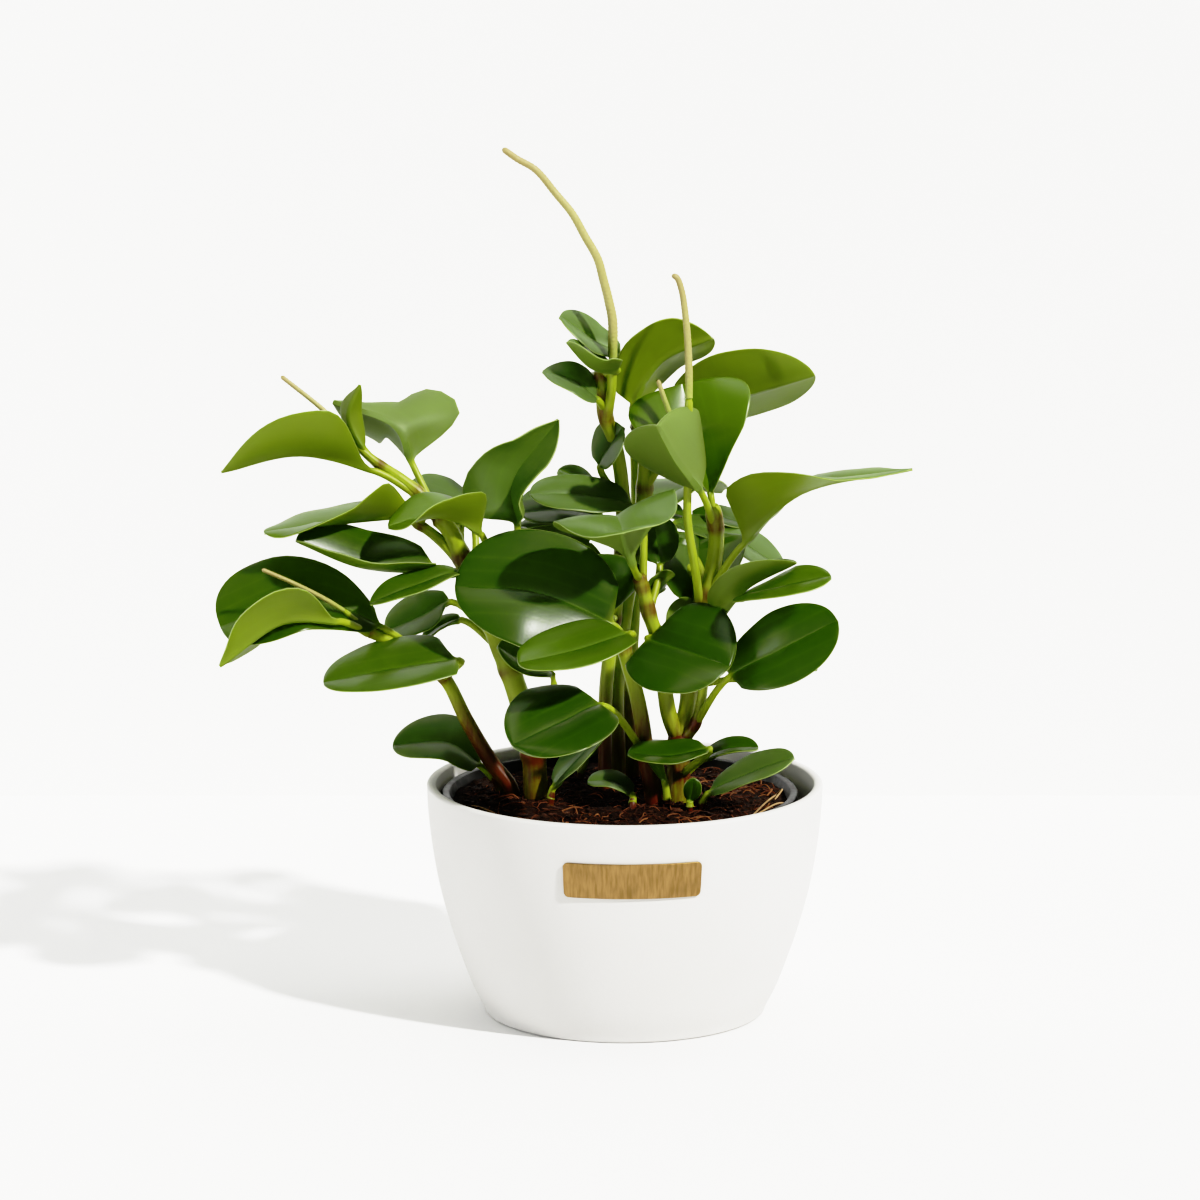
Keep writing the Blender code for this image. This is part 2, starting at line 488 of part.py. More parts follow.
def smooth_path(points, per_span=12):
    """A smooth curve through the points (centripetal Catmull-Rom)."""
    knots = [Vector(point) for point in points]
    knots = [knots[0] * 2 - knots[1]] + knots + [knots[-1] * 2 - knots[-2]]
    path = []
    for a, b, c, d in zip(knots, knots[1:], knots[2:], knots[3:]):
        t0 = 0.0
        t1 = t0 + sqrt((b - a).length)
        t2 = t1 + sqrt((c - b).length)
        t3 = t2 + sqrt((d - c).length)
        for step in range(per_span):
            t = t1 + (t2 - t1) * step / per_span
            ab = a.lerp(b, (t - t0) / (t1 - t0))
            bc = b.lerp(c, (t - t1) / (t2 - t1))
            cd = c.lerp(d, (t - t2) / (t3 - t2))
            abc = ab.lerp(bc, (t - t0) / (t2 - t0))
            bcd = bc.lerp(cd, (t - t1) / (t3 - t1))
            path.append(abc.lerp(bcd, (t - t1) / (t2 - t1)))
    path.append(knots[-2])
    return path


def along(path, shares):
    """Points at shares of a path's length, with the path's direction there."""
    lengths = [0.0]
    for a, b in zip(path, path[1:]):
        lengths.append(lengths[-1] + (b - a).length)
    places = []
    for share in shares:
        target = share * lengths[-1]
        n = 0
        while n < len(path) - 2 and lengths[n + 1] < target:
            n += 1
        span = lengths[n + 1] - lengths[n]
        places.append((path[n].lerp(path[n + 1], (target - lengths[n]) / span),
                       (path[n + 1] - path[n]).normalized()))
    return places, lengths[-1]


def skin(rings):
    """Triangles over rings of equal count, closed at both ends."""
    points = [point for ring in rings for point in ring]
    count = len(rings[0])
    half = count // 2
    faces = []
    for row in range(len(rings) - 1):
        low = row * count
        high = low + count
        for n in range(count):
            m = (n + 1) % count
            if n < half:
                faces += [(low + n, low + m, high + m), (low + n, high + m, high + n)]
            else:
                faces += [(low + n, low + m, high + n), (low + m, high + m, high + n)]
    last = len(points) - count
    faces.append(tuple(reversed(range(count))))
    faces.append(tuple(range(last, last + count)))
    return points, faces


def tube(name, radius_start, radius_end, points, step, sides, spec, round_tip=False):
    path = smooth_path(points)
    rough = sum((b - a).length for a, b in zip(path, path[1:]))
    count = max(2, round(rough / step))
    places, length = along(path, [n / count for n in range(count + 1)])
    normal = places[0][1].orthogonal().normalized()
    rings = []
    for n, (centre, direction) in enumerate(places):
        normal = (normal - direction * normal.dot(direction)).normalized()
        side = direction.cross(normal)
        radius = radius_start + (radius_end - radius_start) * n / count
        if round_tip and n == count:
            radius *= 0.45
        rings.append([centre + normal * (radius * cos(2 * pi * k / sides))
                      + side * (radius * sin(2 * pi * k / sides)) for k in range(sides)])
    return mesh_object(name, *skin(rings), spec)


def value_at(values, share):
    """A value from an evenly spaced list, at a share from its first to its last."""
    if len(values) == 1:
        return values[0]
    place = share * (len(values) - 1)
    n = min(int(place), len(values) - 2)
    return values[n] + (values[n + 1] - values[n]) * (place - n)


def eased(share):
    """0 to 1 with a gentle start and end."""
    share = min(max(share, 0.0), 1.0)
    return share * share * (3 - 2 * share)


def leaf_body(name, leaf, spec):
    """A petiole that opens into a thin folded blade, as one closed solid."""
    path = smooth_path([leaf.root, leaf.base, leaf.middle, leaf.tip], 16)
    stalk, blade = path[:17], path[16:]
    facing = Vector(leaf.facing).normalized()
    rings = []
    columns = 2 * HALF_STEPS + 1
    turn = pi / (columns + 1)
    for centre, direction in along(stalk, PETIOLE_STATIONS)[0]:
        up = (facing - direction * facing.dot(direction)).normalized()
        right = direction.cross(up)
        top = [pi - turn * (n + 1) for n in range(columns)]
        angles = top + [-angle for angle in reversed(top)]
        rings.append([centre + (right * cos(angle) + up * sin(angle)) * PETIOLE_RADIUS
                      for angle in angles])
    taper = leaf.point * leaf.belly / (1 - leaf.belly)
    peak = leaf.belly ** taper * (1 - leaf.belly) ** leaf.point
    for share, (centre, direction) in zip(BLADE_STATIONS, along(blade, BLADE_STATIONS)[0]):
        up = (facing - direction * facing.dot(direction)).normalized()
        right = direction.cross(up)
        half = leaf.width / 2 * share ** taper * (1 - share) ** leaf.point / peak
        half *= eased(share / leaf.wedge)
        half = max(half, PETIOLE_RADIUS if share < 0.5 else EDGE_THICKNESS)
        ridge = max(BLADE_THICKNESS / 2, PETIOLE_RADIUS * (1 - share / RIDGE_SHARE))
        tops = {0: (centre + up * BLADE_THICKNESS / 2)}
        unders = {0: (centre - up * ridge)}
        for sign, folds in ((-1, leaf.left), (1, leaf.right)):
            fold = radians(value_at(folds, share))
            outward = right * (sign * cos(fold)) + up * sin(fold)
            normal = up * cos(fold) - right * (sign * sin(fold))
            for n in range(1, HALF_STEPS + 1):
                thick = BLADE_THICKNESS if n < HALF_STEPS else EDGE_THICKNESS
                place = centre + outward * (half * n / HALF_STEPS)
                tops[sign * n] = place + normal * thick / 2
                unders[sign * n] = place - normal * thick / 2
        order = range(-HALF_STEPS, HALF_STEPS + 1)
        rings.append([tops[n] for n in order] + [unders[n] for n in reversed(order)])
    return mesh_object(name, *skin(rings), spec)


def fuse(name, parts, spec):
    """One closed body from parts that run into each other."""
    body = parts[0]
    body.name = name
    if len(parts) > 1:
        group = bpy.data.collections.new(name + "_parts")
        bpy.context.scene.collection.children.link(group)
        for part in parts[1:]:
            bpy.context.scene.collection.objects.unlink(part)
            group.objects.link(part)
        boolean = body.modifiers.new("fuse", "BOOLEAN")
        boolean.operation = "UNION"
        boolean.operand_type = "COLLECTION"
        boolean.collection = group
        boolean.solver = "MANIFOLD"
        apply_modifiers(body)
        for part in parts[1:]:
            bpy.data.objects.remove(part, do_unlink=True)
        bpy.data.collections.remove(group)
    body.data.materials.clear()
    body.data.materials.append(material(spec))
    body.data.shade_smooth()
    body.data.set_sharp_from_angle(angle=radians(40))
    return body


def leafy_stem(name, stem):
    spec = SHOOT_MATERIAL if name.startswith("shoot") else LEAF_MATERIAL
    parts = [tube(name + "_tube", start, end, points, STEM_STEP, STEM_SIDES, spec)
             for start, end, points in stem.tubes]
    parts += [leaf_body(name + "_leaf", leaf, spec) for leaf in stem.leaves]
    return fuse(name, parts, spec)


def flower_spike(name, start, end, points):
    first = Vector(points[0])
    rise = (Vector(points[1]) - first).normalized() * GAP
    return tube(name, start, end, [first + rise] + list(points[1:]), SPIKE_STEP, SPIKE_SIDES,
                SPIKE_MATERIAL, round_tip=True)


def build():
    clear_scene()
    cover_pot()
    grow_pot()
    soil()
    brass_plate()
    for name, stem in STEMS.items():
        leafy_stem(name, stem)
    for name, (start, end, points) in SPIKES.items():
        flower_spike(name, start, end, points)


build()
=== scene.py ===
import json
import math
import random
from math import cos, exp, pi, radians, sin

import bmesh
import bpy
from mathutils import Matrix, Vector, noise

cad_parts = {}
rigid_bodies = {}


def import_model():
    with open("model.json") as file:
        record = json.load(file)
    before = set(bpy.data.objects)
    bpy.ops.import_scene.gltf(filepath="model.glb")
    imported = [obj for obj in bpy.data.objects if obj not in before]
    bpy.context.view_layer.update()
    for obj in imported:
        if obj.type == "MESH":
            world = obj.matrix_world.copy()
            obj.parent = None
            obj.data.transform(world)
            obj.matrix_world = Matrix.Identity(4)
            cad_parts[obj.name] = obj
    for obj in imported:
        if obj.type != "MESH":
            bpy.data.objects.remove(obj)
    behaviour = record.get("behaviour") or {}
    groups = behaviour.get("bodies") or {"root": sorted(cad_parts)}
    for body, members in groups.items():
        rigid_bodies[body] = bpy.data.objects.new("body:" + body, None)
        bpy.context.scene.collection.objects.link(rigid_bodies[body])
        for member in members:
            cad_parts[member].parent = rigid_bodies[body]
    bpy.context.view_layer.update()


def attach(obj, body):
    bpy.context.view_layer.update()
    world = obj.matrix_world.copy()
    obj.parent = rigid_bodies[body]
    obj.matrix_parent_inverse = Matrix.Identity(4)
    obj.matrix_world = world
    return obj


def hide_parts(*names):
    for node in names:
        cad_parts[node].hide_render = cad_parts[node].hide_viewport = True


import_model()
mm = 0.001
scene = bpy.context.scene


class Link:  # a socket that takes part in sums
    def __init__(self, finish, socket):
        self.finish = finish
        self.socket = socket

    def sum(self, operation, *values):
        return self.finish.node("ShaderNodeMath", {"operation": operation}, list(values))

    def __add__(self, other):
        return self.sum("ADD", self, other)

    __radd__ = __add__

    def __sub__(self, other):
        return self.sum("SUBTRACT", self, other)

    def __rsub__(self, other):
        return self.sum("SUBTRACT", other, self)

    def __mul__(self, other):
        return self.sum("MULTIPLY", self, other)

    __rmul__ = __mul__

    def __truediv__(self, other):
        return self.sum("DIVIDE", self, other)

    def __pow__(self, other):
        return self.sum("POWER", self, other)

    def bell(self, width):  # 1 where the value is 0, falling off over a width
        return self.sum("EXPONENT", (self / width) ** 2 * -1)

    def within(self, low, high, first=0.0, last=1.0):  # smooth step between two values
        return self.finish.node("ShaderNodeMapRange", {"interpolation_type": "SMOOTHSTEP"},
                                [self, low, high, first, last])


class Finish:  # a material, and the one way its nodes are made
    def __init__(self, name, **constants):
        self.material = bpy.data.materials.new(name)
        self.material.use_nodes = True
        self.tree = self.material.node_tree
        self.shader = self.tree.nodes["Principled BSDF"]
        for socket, value in constants.items():
            self.shader.inputs[socket.replace("_", " ")].default_value = value

    def node(self, kind, settings=None, sockets=(), output=0):
        made = self.tree.nodes.new(kind)
        for key, value in (settings or {}).items():
            if key == "stops":
                ramp = made.color_ramp.elements
                while len(ramp) < len(value):
                    ramp.new(0.5)
                for stop, (place, colour) in zip(ramp, value):
                    stop.position = place
                    stop.color = (*colour, 1)
            else:
                setattr(made, key, value)
        pairs = sockets.items() if isinstance(sockets, dict) else enumerate(sockets)
        for key, value in pairs:
            self.feed(made.inputs[key], value)
        return Link(self, made.outputs[output])

    def feed(self, socket, value):
        if isinstance(value, Link):
            self.tree.links.new(value.socket, socket)
        elif isinstance(value, tuple) and len(value) == 3 and socket.type == "RGBA":
            socket.default_value = (*value, 1)
        else:
            socket.default_value = value

    def mix(self, share, first, second, blend="MIX"):
        return self.node("ShaderNodeMix", {"data_type": "RGBA", "blend_type": blend},
                         {0: share, 6: first, 7: second}, 2)

    def place(self, scale=(1, 1, 1)):  # a point of the surface in metres, stretched along the axes
        point = self.node("ShaderNodeTexCoord", {}, (), 3)
        return self.node("ShaderNodeVectorMath", {"operation": "MULTIPLY"}, [point, scale])

    def grain(self, size, detail=3.0, stretch=(1, 1, 1), rough=0.5):  # noise of a size in metres
        return self.node("ShaderNodeTexNoise", {}, {"Vector": self.place(stretch),
                         "Scale": 1 / size, "Detail": detail, "Roughness": rough})

    def colour(self, value):
        self.feed(self.shader.inputs["Base Color"], value)

    def roughness(self, value):
        self.feed(self.shader.inputs["Roughness"], value)

    def relief(self, height, depth):  # a bump of a depth in metres
        bump = self.node("ShaderNodeBump", {}, {"Height": height, "Distance": depth})
        self.feed(self.shader.inputs["Normal"], bump)


class Shape:  # points, faces and the two colour layers of a piece, gathered before it is a mesh
    def __init__(self):
        self.points = []
        self.faces = []
        self.blade = []   # across the blade, along it, underside, petiole or stem
        self.tint = []    # youth, grey bloom with painted sheen, brown

    def rings(self, rings, blades, tints, closed=True):
        start = len(self.points)
        count = len(rings[0])
        for ring, blade, tint in zip(rings, blades, tints):
            self.points += ring
            self.blade += blade
            self.tint += tint
        for row in range(len(rings) - 1):
            low = start + row * count
            high = low + count
            self.faces += [(low + n, low + (n + 1) % count, high + (n + 1) % count, high + n)
                           for n in range(count)]
        if closed:
            last = start + (len(rings) - 1) * count
            self.faces.append(tuple(reversed(range(start, start + count))))
            self.faces.append(tuple(range(last, last + count)))

    def piece(self, name, finish, slot, replaced=None, sharp=50):
        mesh = bpy.data.meshes.new(name)
        mesh.from_pydata([point * mm for point in self.points], [], self.faces)
        for layer, values in (("blade", self.blade), ("tint", self.tint)):
            if values:
                colours = mesh.color_attributes.new(layer, "FLOAT_COLOR", "POINT")
                colours.data.foreach_set("color", [part for value in values for part in value])
        shape = bmesh.new()
        shape.from_mesh(mesh)
        bmesh.ops.recalc_face_normals(shape, faces=shape.faces)
        shape.to_mesh(mesh)
        shape.free()
        mesh.materials.append(finish.material)
        mesh.shade_smooth()
        mesh.set_sharp_from_angle(angle=radians(sharp))
        item = bpy.data.objects.new(name, mesh)
        scene.collection.objects.link(item)
        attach(item, "root")
        if replaced:
            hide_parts(replaced)
        return item


def smoothPath(points, perSpan=16):  # a smooth curve through the points
    knots = [Vector(point) for point in points]
    knots = [knots[0] * 2 - knots[1]] + knots + [knots[-1] * 2 - knots[-2]]
    path = []
    for a, b, c, d in zip(knots, knots[1:], knots[2:], knots[3:]):
        t0 = 0.0
        t1 = t0 + (b - a).length ** 0.5
        t2 = t1 + (c - b).length ** 0.5
        t3 = t2 + (d - c).length ** 0.5
        for step in range(perSpan):
            t = t1 + (t2 - t1) * step / perSpan
            ab = a.lerp(b, (t - t0) / (t1 - t0))
            bc = b.lerp(c, (t - t1) / (t2 - t1))
            cd = c.lerp(d, (t - t2) / (t3 - t2))
            abc = ab.lerp(bc, (t - t0) / (t2 - t0))
            bcd = bc.lerp(cd, (t - t1) / (t3 - t1))
            path.append(abc.lerp(bcd, (t - t1) / (t2 - t1)))
    path.append(knots[-2])
    return path


def along(path, shares):  # points at shares of the path's length, each with its direction
    lengths = [0.0]
    for a, b in zip(path, path[1:]):
        lengths.append(lengths[-1] + (b - a).length)
    ways = [(path[min(n + 1, len(path) - 1)] - path[max(n - 1, 0)]).normalized()
            for n in range(len(path))]
    places = []
    n = 0
    for share in shares:
        target = share * lengths[-1]
        while n < len(path) - 2 and lengths[n + 1] < target:
            n += 1
        part = (target - lengths[n]) / (lengths[n + 1] - lengths[n])
        places.append((path[n].lerp(path[n + 1], part), ways[n].lerp(ways[n + 1], part).normalized()))
    return places, lengths[-1]


def valueAt(values, share):
    if isinstance(values, (int, float)):
        return values
    place = share * (len(values) - 1)
    n = min(int(place), len(values) - 2)
    return values[n] + (values[n + 1] - values[n]) * (place - n)


def eased(share):
    share = min(max(share, 0.0), 1.0)
    return share * share * (3 - 2 * share)


# leaves: the root is on the stem, and base, middle and tip lie along the midrib. Facing is the way
# the upper side looks. Left and right are how far the halves lift, in degrees from base to tip.
# Belly is where the blade is widest, point how slowly it narrows, wedge how far it takes to open.
def leaf(root, base, middle, tip, width, facing, left=12, right=12, belly=0.56, point=0.5,
         wedge=0.1):
    return {"root": root, "base": base, "middle": middle, "tip": tip, "width": width,
            "facing": facing, "left": left, "right": right, "belly": belly, "point": point,
            "wedge": wedge}


def foot(x, y):
    return [(x, y, 76), (x, y, 89.5)]


stems = {
    "stem_low_left": {"tubes": [(3.4, 2.2, foot(-46, 5) + [(-54, 5, 101), (-64, 4, 119), (-72, 0, 136), (-82, -8, 147.4),
                                    (-93, -12, 154), (-103, -17, 160)]),
         (1.3, 1.1, [(-103, -17, 160), (-107, -21, 164.5), (-112, -26, 170)])],
        "leaves": [leaf((-79, -5, 145), (-96, -14, 160), (-128, -24, 175), (-161, -30, 164), 42,
              (-0.1, -0.62, 0.78), 8, 8, 0.68, 0.4),
         leaf((-103, -17, 159), (-113, -33, 167), (-135.5, -45, 169), (-160, -55, 153.5), 42,
              (0, 0.6, 0.8), 15, 15, 0.4, 0.9, 0.45),
         leaf((-73, -2, 138), (-66, -25, 149.5), (-92, -30, 147), (-120, -34, 142), 38,
              (0, -0.35, 0.94), 8, 8, 0.42),
         leaf((-82, -8, 147), (-88, 8, 143), (-98, 22, 139), (-110, 34, 132), 32,
              (-0.2, -0.1, 0.95), 12, 12, 0.55)]},
    "stem_left": {"tubes": [(5.2, 3.4, foot(-36, 0) + [(-37, 0, 106), (-43, 0, 130), (-50, 0, 150), (-58, 0, 170),
                                    (-66, -2, 188), (-70, -4, 198), (-75, -4, 204)]),
         (2.6, 1.8, [(-66, -2, 186), (-74, -3, 194), (-80, -4, 199), (-85, -5, 202)]),
         (2.6, 1.5, [(-75, -4, 204), (-81, -3, 212), (-91, -2, 220), (-98, 0, 224),
                     (-104, 0, 229), (-111, 0.7, 236.5)])],
        "leaves": [leaf((-84, -3, 213), (-99, -4, 222), (-130, -10, 230), (-161, -12, 223.6), 48,
              (0, -0.2, 0.98), (78, 60), (15, 10), 0.4, 1.0, 0.42),
         leaf((-98, 0, 224), (-104, 0, 230), (-110.5, -1, 244), (-105.7, -2, 257), 12,
              (0.3, 0.9, 0.2), 40, 40, 0.5, 0.9),
         leaf((-75, -4, 204), (-85, 4, 223.4), (-91.5, 4, 238.5), (-117, 8, 248.4), 54,
              (0.1, 0.95, 0.2), (20, 22, 95, 110, 110), (60, 60, 45, 40, 40), 0.33, 0.7, 0.3),
         leaf((-82, -5, 201), (-81, -4, 204), (-112, -14, 203.5), (-143.6, -22, 200.7), 42,
              (0, -0.2, 0.98), (95, 38, 0), (0, -8), 0.38, 0.55, 0.3),
         leaf((-64, -2, 180), (-74, -12, 184), (-104, -22, 187), (-130.6, -28, 199), 36,
              (0, -0.6, 0.8), (58, 52), 8, 0.5),
         leaf((-55, -2, 165), (-64, -20, 184), (-83.4, -32, 181), (-101, -38, 175), 18,
              (0, -0.3, 1), 15, 15, 0.56, 0.6),
         leaf((-56, 0, 168), (-57, -18, 199), (-74, -26, 208), (-94, -30, 204.4), 36,
              (0, -0.2, 0.98), (95, 45, 5), (15, 10), 0.36, 0.6, 0.3),
         leaf((-60, 2, 178), (-62, 14, 199), (-74, 16, 206), (-88, 16, 211), 30,
              (0, -0.3, 0.95)),
         leaf((-52, 2, 160), (-43, -8, 199), (-45, -12, 218), (-26.5, -8, 244), 40,
              (0, -0.95, 0.3), (0, 15, 60, 60), (85, 80, 50, 40), 0.3, 0.8, 0.32),
         leaf((-50, 3, 150), (-70, 16, 165), (-83, 17, 158.5), (-97, 18, 152), 24,
              (0.1, -0.5, 0.9)),
         leaf((-50, 3, 148), (-66, 14, 158), (-74, 16, 155), (-82, 17, 149), 12,
              (0, -0.3, 0.95)),
         leaf((-66, -2, 188), (-66, 14, 196), (-66, 32, 203), (-72, 48, 200), 38,
              (-0.2, 0.2, 0.95)),
         leaf((-48, 0, 140), (-42, 18, 152), (-38, 36, 160), (-42, 54, 160), 34,
              (-0.1, 0.4, 0.9)),
         leaf((-37, 0, 106), (-29, -9, 140), (-40, -14, 146), (-51, -18, 153.5), 18,
              (0, -0.5, 0.85))]},
    "stem_tall": {"tubes": [(2.8, 2.8, foot(-8, 14) + [(-8, 15, 104), (-7.5, 16, 130), (-4, 16, 160), (-1, 14, 190),
                                    (-1, 10, 212), (-4, 6, 232), (-7.5, 4, 242), (-9, 3, 252),
                                    (-10, 2, 262)]),
         (2.0, 1.9, [(-7.5, 3, 242), (-5.5, -1, 254), (-5, -3, 268)])],
        "leaves": [leaf((-2, 12, 205), (-12, 15, 211.5), (-20, 16, 216), (-27, 17, 219), 14, (0, -0.3, 0.95)),
         leaf((-2, 14, 186), (-8, 15, 198), (-24, 11, 204), (-43, 7, 203), 28, (0, -0.4, 0.9)),
         leaf((-4, 15, 170), (-14, 11, 189), (-28, 8, 194.5), (-43, 8, 197), 24, (0, -0.2, 0.98),
              (60, 20), 10),
         leaf((-1, 12, 207), (-10, 7, 222), (-6, 4, 231), (-0.5, 2, 239), 21, (-0.6, -0.6, 0.5)),
         leaf((-9, 3, 252), (-2, 8, 266), (-13, 5, 274), (-26, 0, 284), 20, (0.2, -0.5, 0.85)),
         leaf((-10, 2, 260), (-3, -3, 263), (-13, -8, 265), (-23, -12, 276), 25,
              (0.1, -0.2, 0.97), (50, 30), 15, 0.4, 0.7),
         leaf((-8, 3, 246), (-11, -2, 251), (-20, -6, 259), (-33, -6, 263), 18,
              (-0.2, -0.5, 0.8), 12, 12, 0.45, 0.8),
         leaf((-4, 16, 158), (-6, 4, 162), (-11, -2, 174), (-14, -4, 188), 40, (0.1, -0.85, 0.4)),
         leaf((-8, 4, 244), (-6, 18, 250), (-12, 32, 254), (-20, 44, 252), 34,
              (-0.1, 0.3, 0.95))]},
    "stem_middle": {"tubes": [(3.4, 3.2, foot(-3, 28) + [(-3, 27, 102), (-3.5, 25, 126), (0, 22, 160), (5, 18, 190),
                                    (8, 15, 212), (8, 14, 230), (5, 10, 240)])],
        "leaves": [leaf((5, 10, 238), (3, 10, 245.5), (14, 8, 264.5), (34.5, 3, 275.5), 38,
              (-0.5, 0.7, 0.5), 15, 15),
         leaf((4, 19, 188), (4, 3.5, 206), (-16, -3, 212.2), (-38, -8, 213.6), 22, (0, -0.35, 0.94),
              -5, 20),
         leaf((8, 14, 212), (17, 10, 226), (21, 8, 234), (26, 6, 241), 18, (0, -0.5, 0.8))]},
    "stem_dark": {"tubes": [(3.4, 1.8, foot(3, 38) + [(2, 34, 104), (2, 32, 130), (4, 30, 160), (5, 27, 190),
                                   (4.5, 24, 214), (5, 21, 232), (12, 20, 240)])],
        "leaves": [leaf((12, 20, 238), (18, 24, 240), (48, 20, 249), (76, 12, 259), 42, (0, 0.75, 0.66),
              15, (15, 28), 0.45, 0.6),
         leaf((5, 27, 186), (10, 40, 196), (24, 54, 204), (40, 62, 202), 38, (0.1, 0.2, 0.97)),
         leaf((2, 34, 104), (-10, 42, 106), (-24, 52, 106), (-40, 62, 99), 36, (0, 0.1, 1)),
         leaf((3, 32, 132), (14, 42, 136), (28, 52, 136), (42, 60, 130), 38, (0.1, 0.1, 1))]},
    "stem_front": {"tubes": [(3.6, 2.8, foot(11.5, -10) + [(9, -9, 104), (7, -9, 120), (4.5, -9, 133), (1, -10, 146),
                                    (-2, -12, 158)])],
        "leaves": [leaf((-1, -11, 154), (-4, -23, 163), (-35.7, -27, 177.6), (-67.7, -29, 180.4), 50,
              (-0.1, -0.85, 0.5), 8, 8, 0.5),
         leaf((-1, -11, 152), (2, -38, 163), (-20, -50, 158.5), (-42, -58, 155), 32,
              (0, -0.35, 0.94), 10, 10, 0.5),
         leaf((8, -8, 108), (-9, -34, 133), (-25, -50, 130), (-44.5, -62, 123), 42,
              (-0.15, -0.6, 0.75), 8, 8, 0.5)]},
    "stem_right": {"tubes": [(5.0, 4.4, foot(21, -6) + [(21.5, -5, 98), (22.5, -4, 115)]),
         (3.4, 2.6, [(22, -4, 112), (18, -5, 122), (16, -6, 134), (14, -7, 152), (10, -8, 164),
                     (8, -8, 172), (5.5, -9, 181)]),
         (3.6, 3.0, [(22, -4, 112), (25, -2, 124), (27, 0, 140), (30, 2, 158), (33, 1, 172),
                     (35, 0, 180), (36.5, -2, 191), (36.5, -4, 198), (35, -7, 209)]),
         (2.2, 1.8, [(24, -6, 113), (28.5, -8, 120), (31, -9, 131), (32, -8, 144)]),
         (1.8, 1.6, [(30, 0, 168), (28, -8, 184), (25, -13, 204), (25, -16, 222), (25, -18, 240),
                     (25.3, -18, 254)]),
         (1.3, 1.2, [(25, -17, 230), (20, -16, 241), (17.5, -15, 248)])],
        "leaves": [leaf((35, -6, 204), (34.5, -8, 212), (29, -3, 235), (23, 6, 256), 50, (0, -0.85, 0.5),
              (60, 25, 0), (60, 25, 0), 0.78, 0.3),
         leaf((36, -5, 200), (30.3, -17, 216), (20, -30.5, 231.5), (12.5, -38, 247), 52,
              (-0.1, 0.8, 0.5), 62, 40, 0.55, 0.6),
         leaf((7, -8, 176), (10, -2, 207), (16, -4, 206), (23, -5, 204), 14, (0, -0.3, 0.95)),
         leaf((5.5, -9, 180), (3.5, -26, 187), (-3.5, -38, 210), (-1, -57, 207.5), 50,
              (0, 0.7, 0.7), (45, 25, 19), (40, 0, -25), 0.6, 0.45, 0.55),
         leaf((10, -8, 166), (14, 4, 182), (12.5, 7, 194), (11, 7, 202), 18, (0, -0.8, 0.5)),
         leaf((9, -8, 168), (11, 2, 170), (15, 3, 175), (20, 4, 179), 14, (0, 0.5, 0.8)),
         leaf((14, -7, 150), (17, 2, 152), (22, 4, 158), (27, 4, 169), 14, (0, 0.7, 0.6)),
         leaf((30, 2, 158), (27, 8, 164), (29.5, 15, 178), (30.5, 28, 190), 44, (0, -0.8, 0.6),
              (50, 20), (50, 20), 0.6, 0.4),
         leaf((33, 1, 170), (18, 35, 193), (42, 35, 188), (64, 30, 175.5), 26, (0.2, -0.25, 0.95),
              8, 8),
         leaf((33, 1, 172), (28, 44, 194), (38, 46, 194), (48, 45, 191), 18, (0, -0.2, 0.98)),
         leaf((33, 1, 170), (45.7, -10, 192), (70, -22, 217), (113.6, -30, 228), 40, (0, -0.05, 1),
              5, (95, 60, 10, 0), 0.28, 0.9, 0.2),
         leaf((31, 2, 160), (36, -10, 163), (50, -20, 179), (68, -28, 190), 22, (0, -0.2, 0.98),
              20, (85, 60), 0.4, 0.7),
         leaf((33, 0, 163), (44, -16, 172.5), (63.4, -35, 181.5), (81.5, -38, 186), 24,
              (0, -0.35, 0.94), 8, 8),
         leaf((13, -7, 155), (9, -14, 156), (25, -27, 153), (41.5, -36, 149), 48,
              (-0.15, -0.65, 0.78), 6, 6, 0.45),
         leaf((28.5, -8, 120), (41, -20, 141), (62.3, -28, 154.5), (84.5, -32, 167), 32,
              (0, -0.8, 0.6), 5, 5),
         leaf((24, -8, 100), (34, -20, 112), (18, -24, 110), (1, -24, 111), 20, (0, -0.3, 0.95)),
         leaf((24, -4, 98), (32, -2, 104), (42, -2, 108), (54, -2, 108.5), 16, (0, -0.2, 0.98)),
         leaf((27, 0, 134), (42, 2, 136), (58, 14, 138), (74, 26, 134), 36, (0.1, 0.1, 1)),
         leaf((27, 0, 140), (34, 14, 142), (46, 28, 142), (58, 40, 136), 38, (0.1, 0.15, 1))]},
    "shoot_left": {"tubes": [(1.7, 1.5, foot(-51, 10) + [(-54, 9, 95)])],
        "leaves": [leaf((-52, 10, 92), (-58, 8, 98.5), (-71, 7, 108.5), (-94, 8, 107), 30, (-0.1, -0.4, 0.9),
              10, 10, 0.5)]},
    "shoot_middle": {"tubes": [(1.5, 1.3, foot(-30, -13) + [(-29, -13, 93)])],
        "leaves": [leaf((-30, -13, 90), (-29, -12, 94), (-19, -13, 106), (-7.5, -14, 117), 15,
              (-0.6, -0.5, 0.6), 20, 20)]},
    "shoot_back": {"tubes": [(1.5, 1.3, foot(-18, 30) + [(-17, 30, 94)])],
        "leaves": [leaf((-18, 30, 91), (-16, 30, 96), (-17, 28, 106), (-18, 26, 116), 18,
              (0.4, -0.8, 0.4))]},
    "shoot_front": {"tubes": [(1.4, 1.3, foot(3, -22) + [(3, -21, 92)])],
        "leaves": [leaf((3, -22, 90), (3, -19, 93), (-5, -18, 98), (-15, -18, 98), 15, (0, -0.3, 0.95))]},
    "shoot_right": {"tubes": [(1.5, 1.4, foot(31, -20) + [(32, -21, 92)])],
        "leaves": [leaf((31, -20, 90), (33, -22, 94), (50, -27, 103.5), (67.5, -31, 111), 21,
              (0, -0.35, 0.94), 10, 10)]},
    "shoot_yellow": {"tubes": [(1.2, 1.1, foot(17, -14) + [(16.5, -14, 93)])],
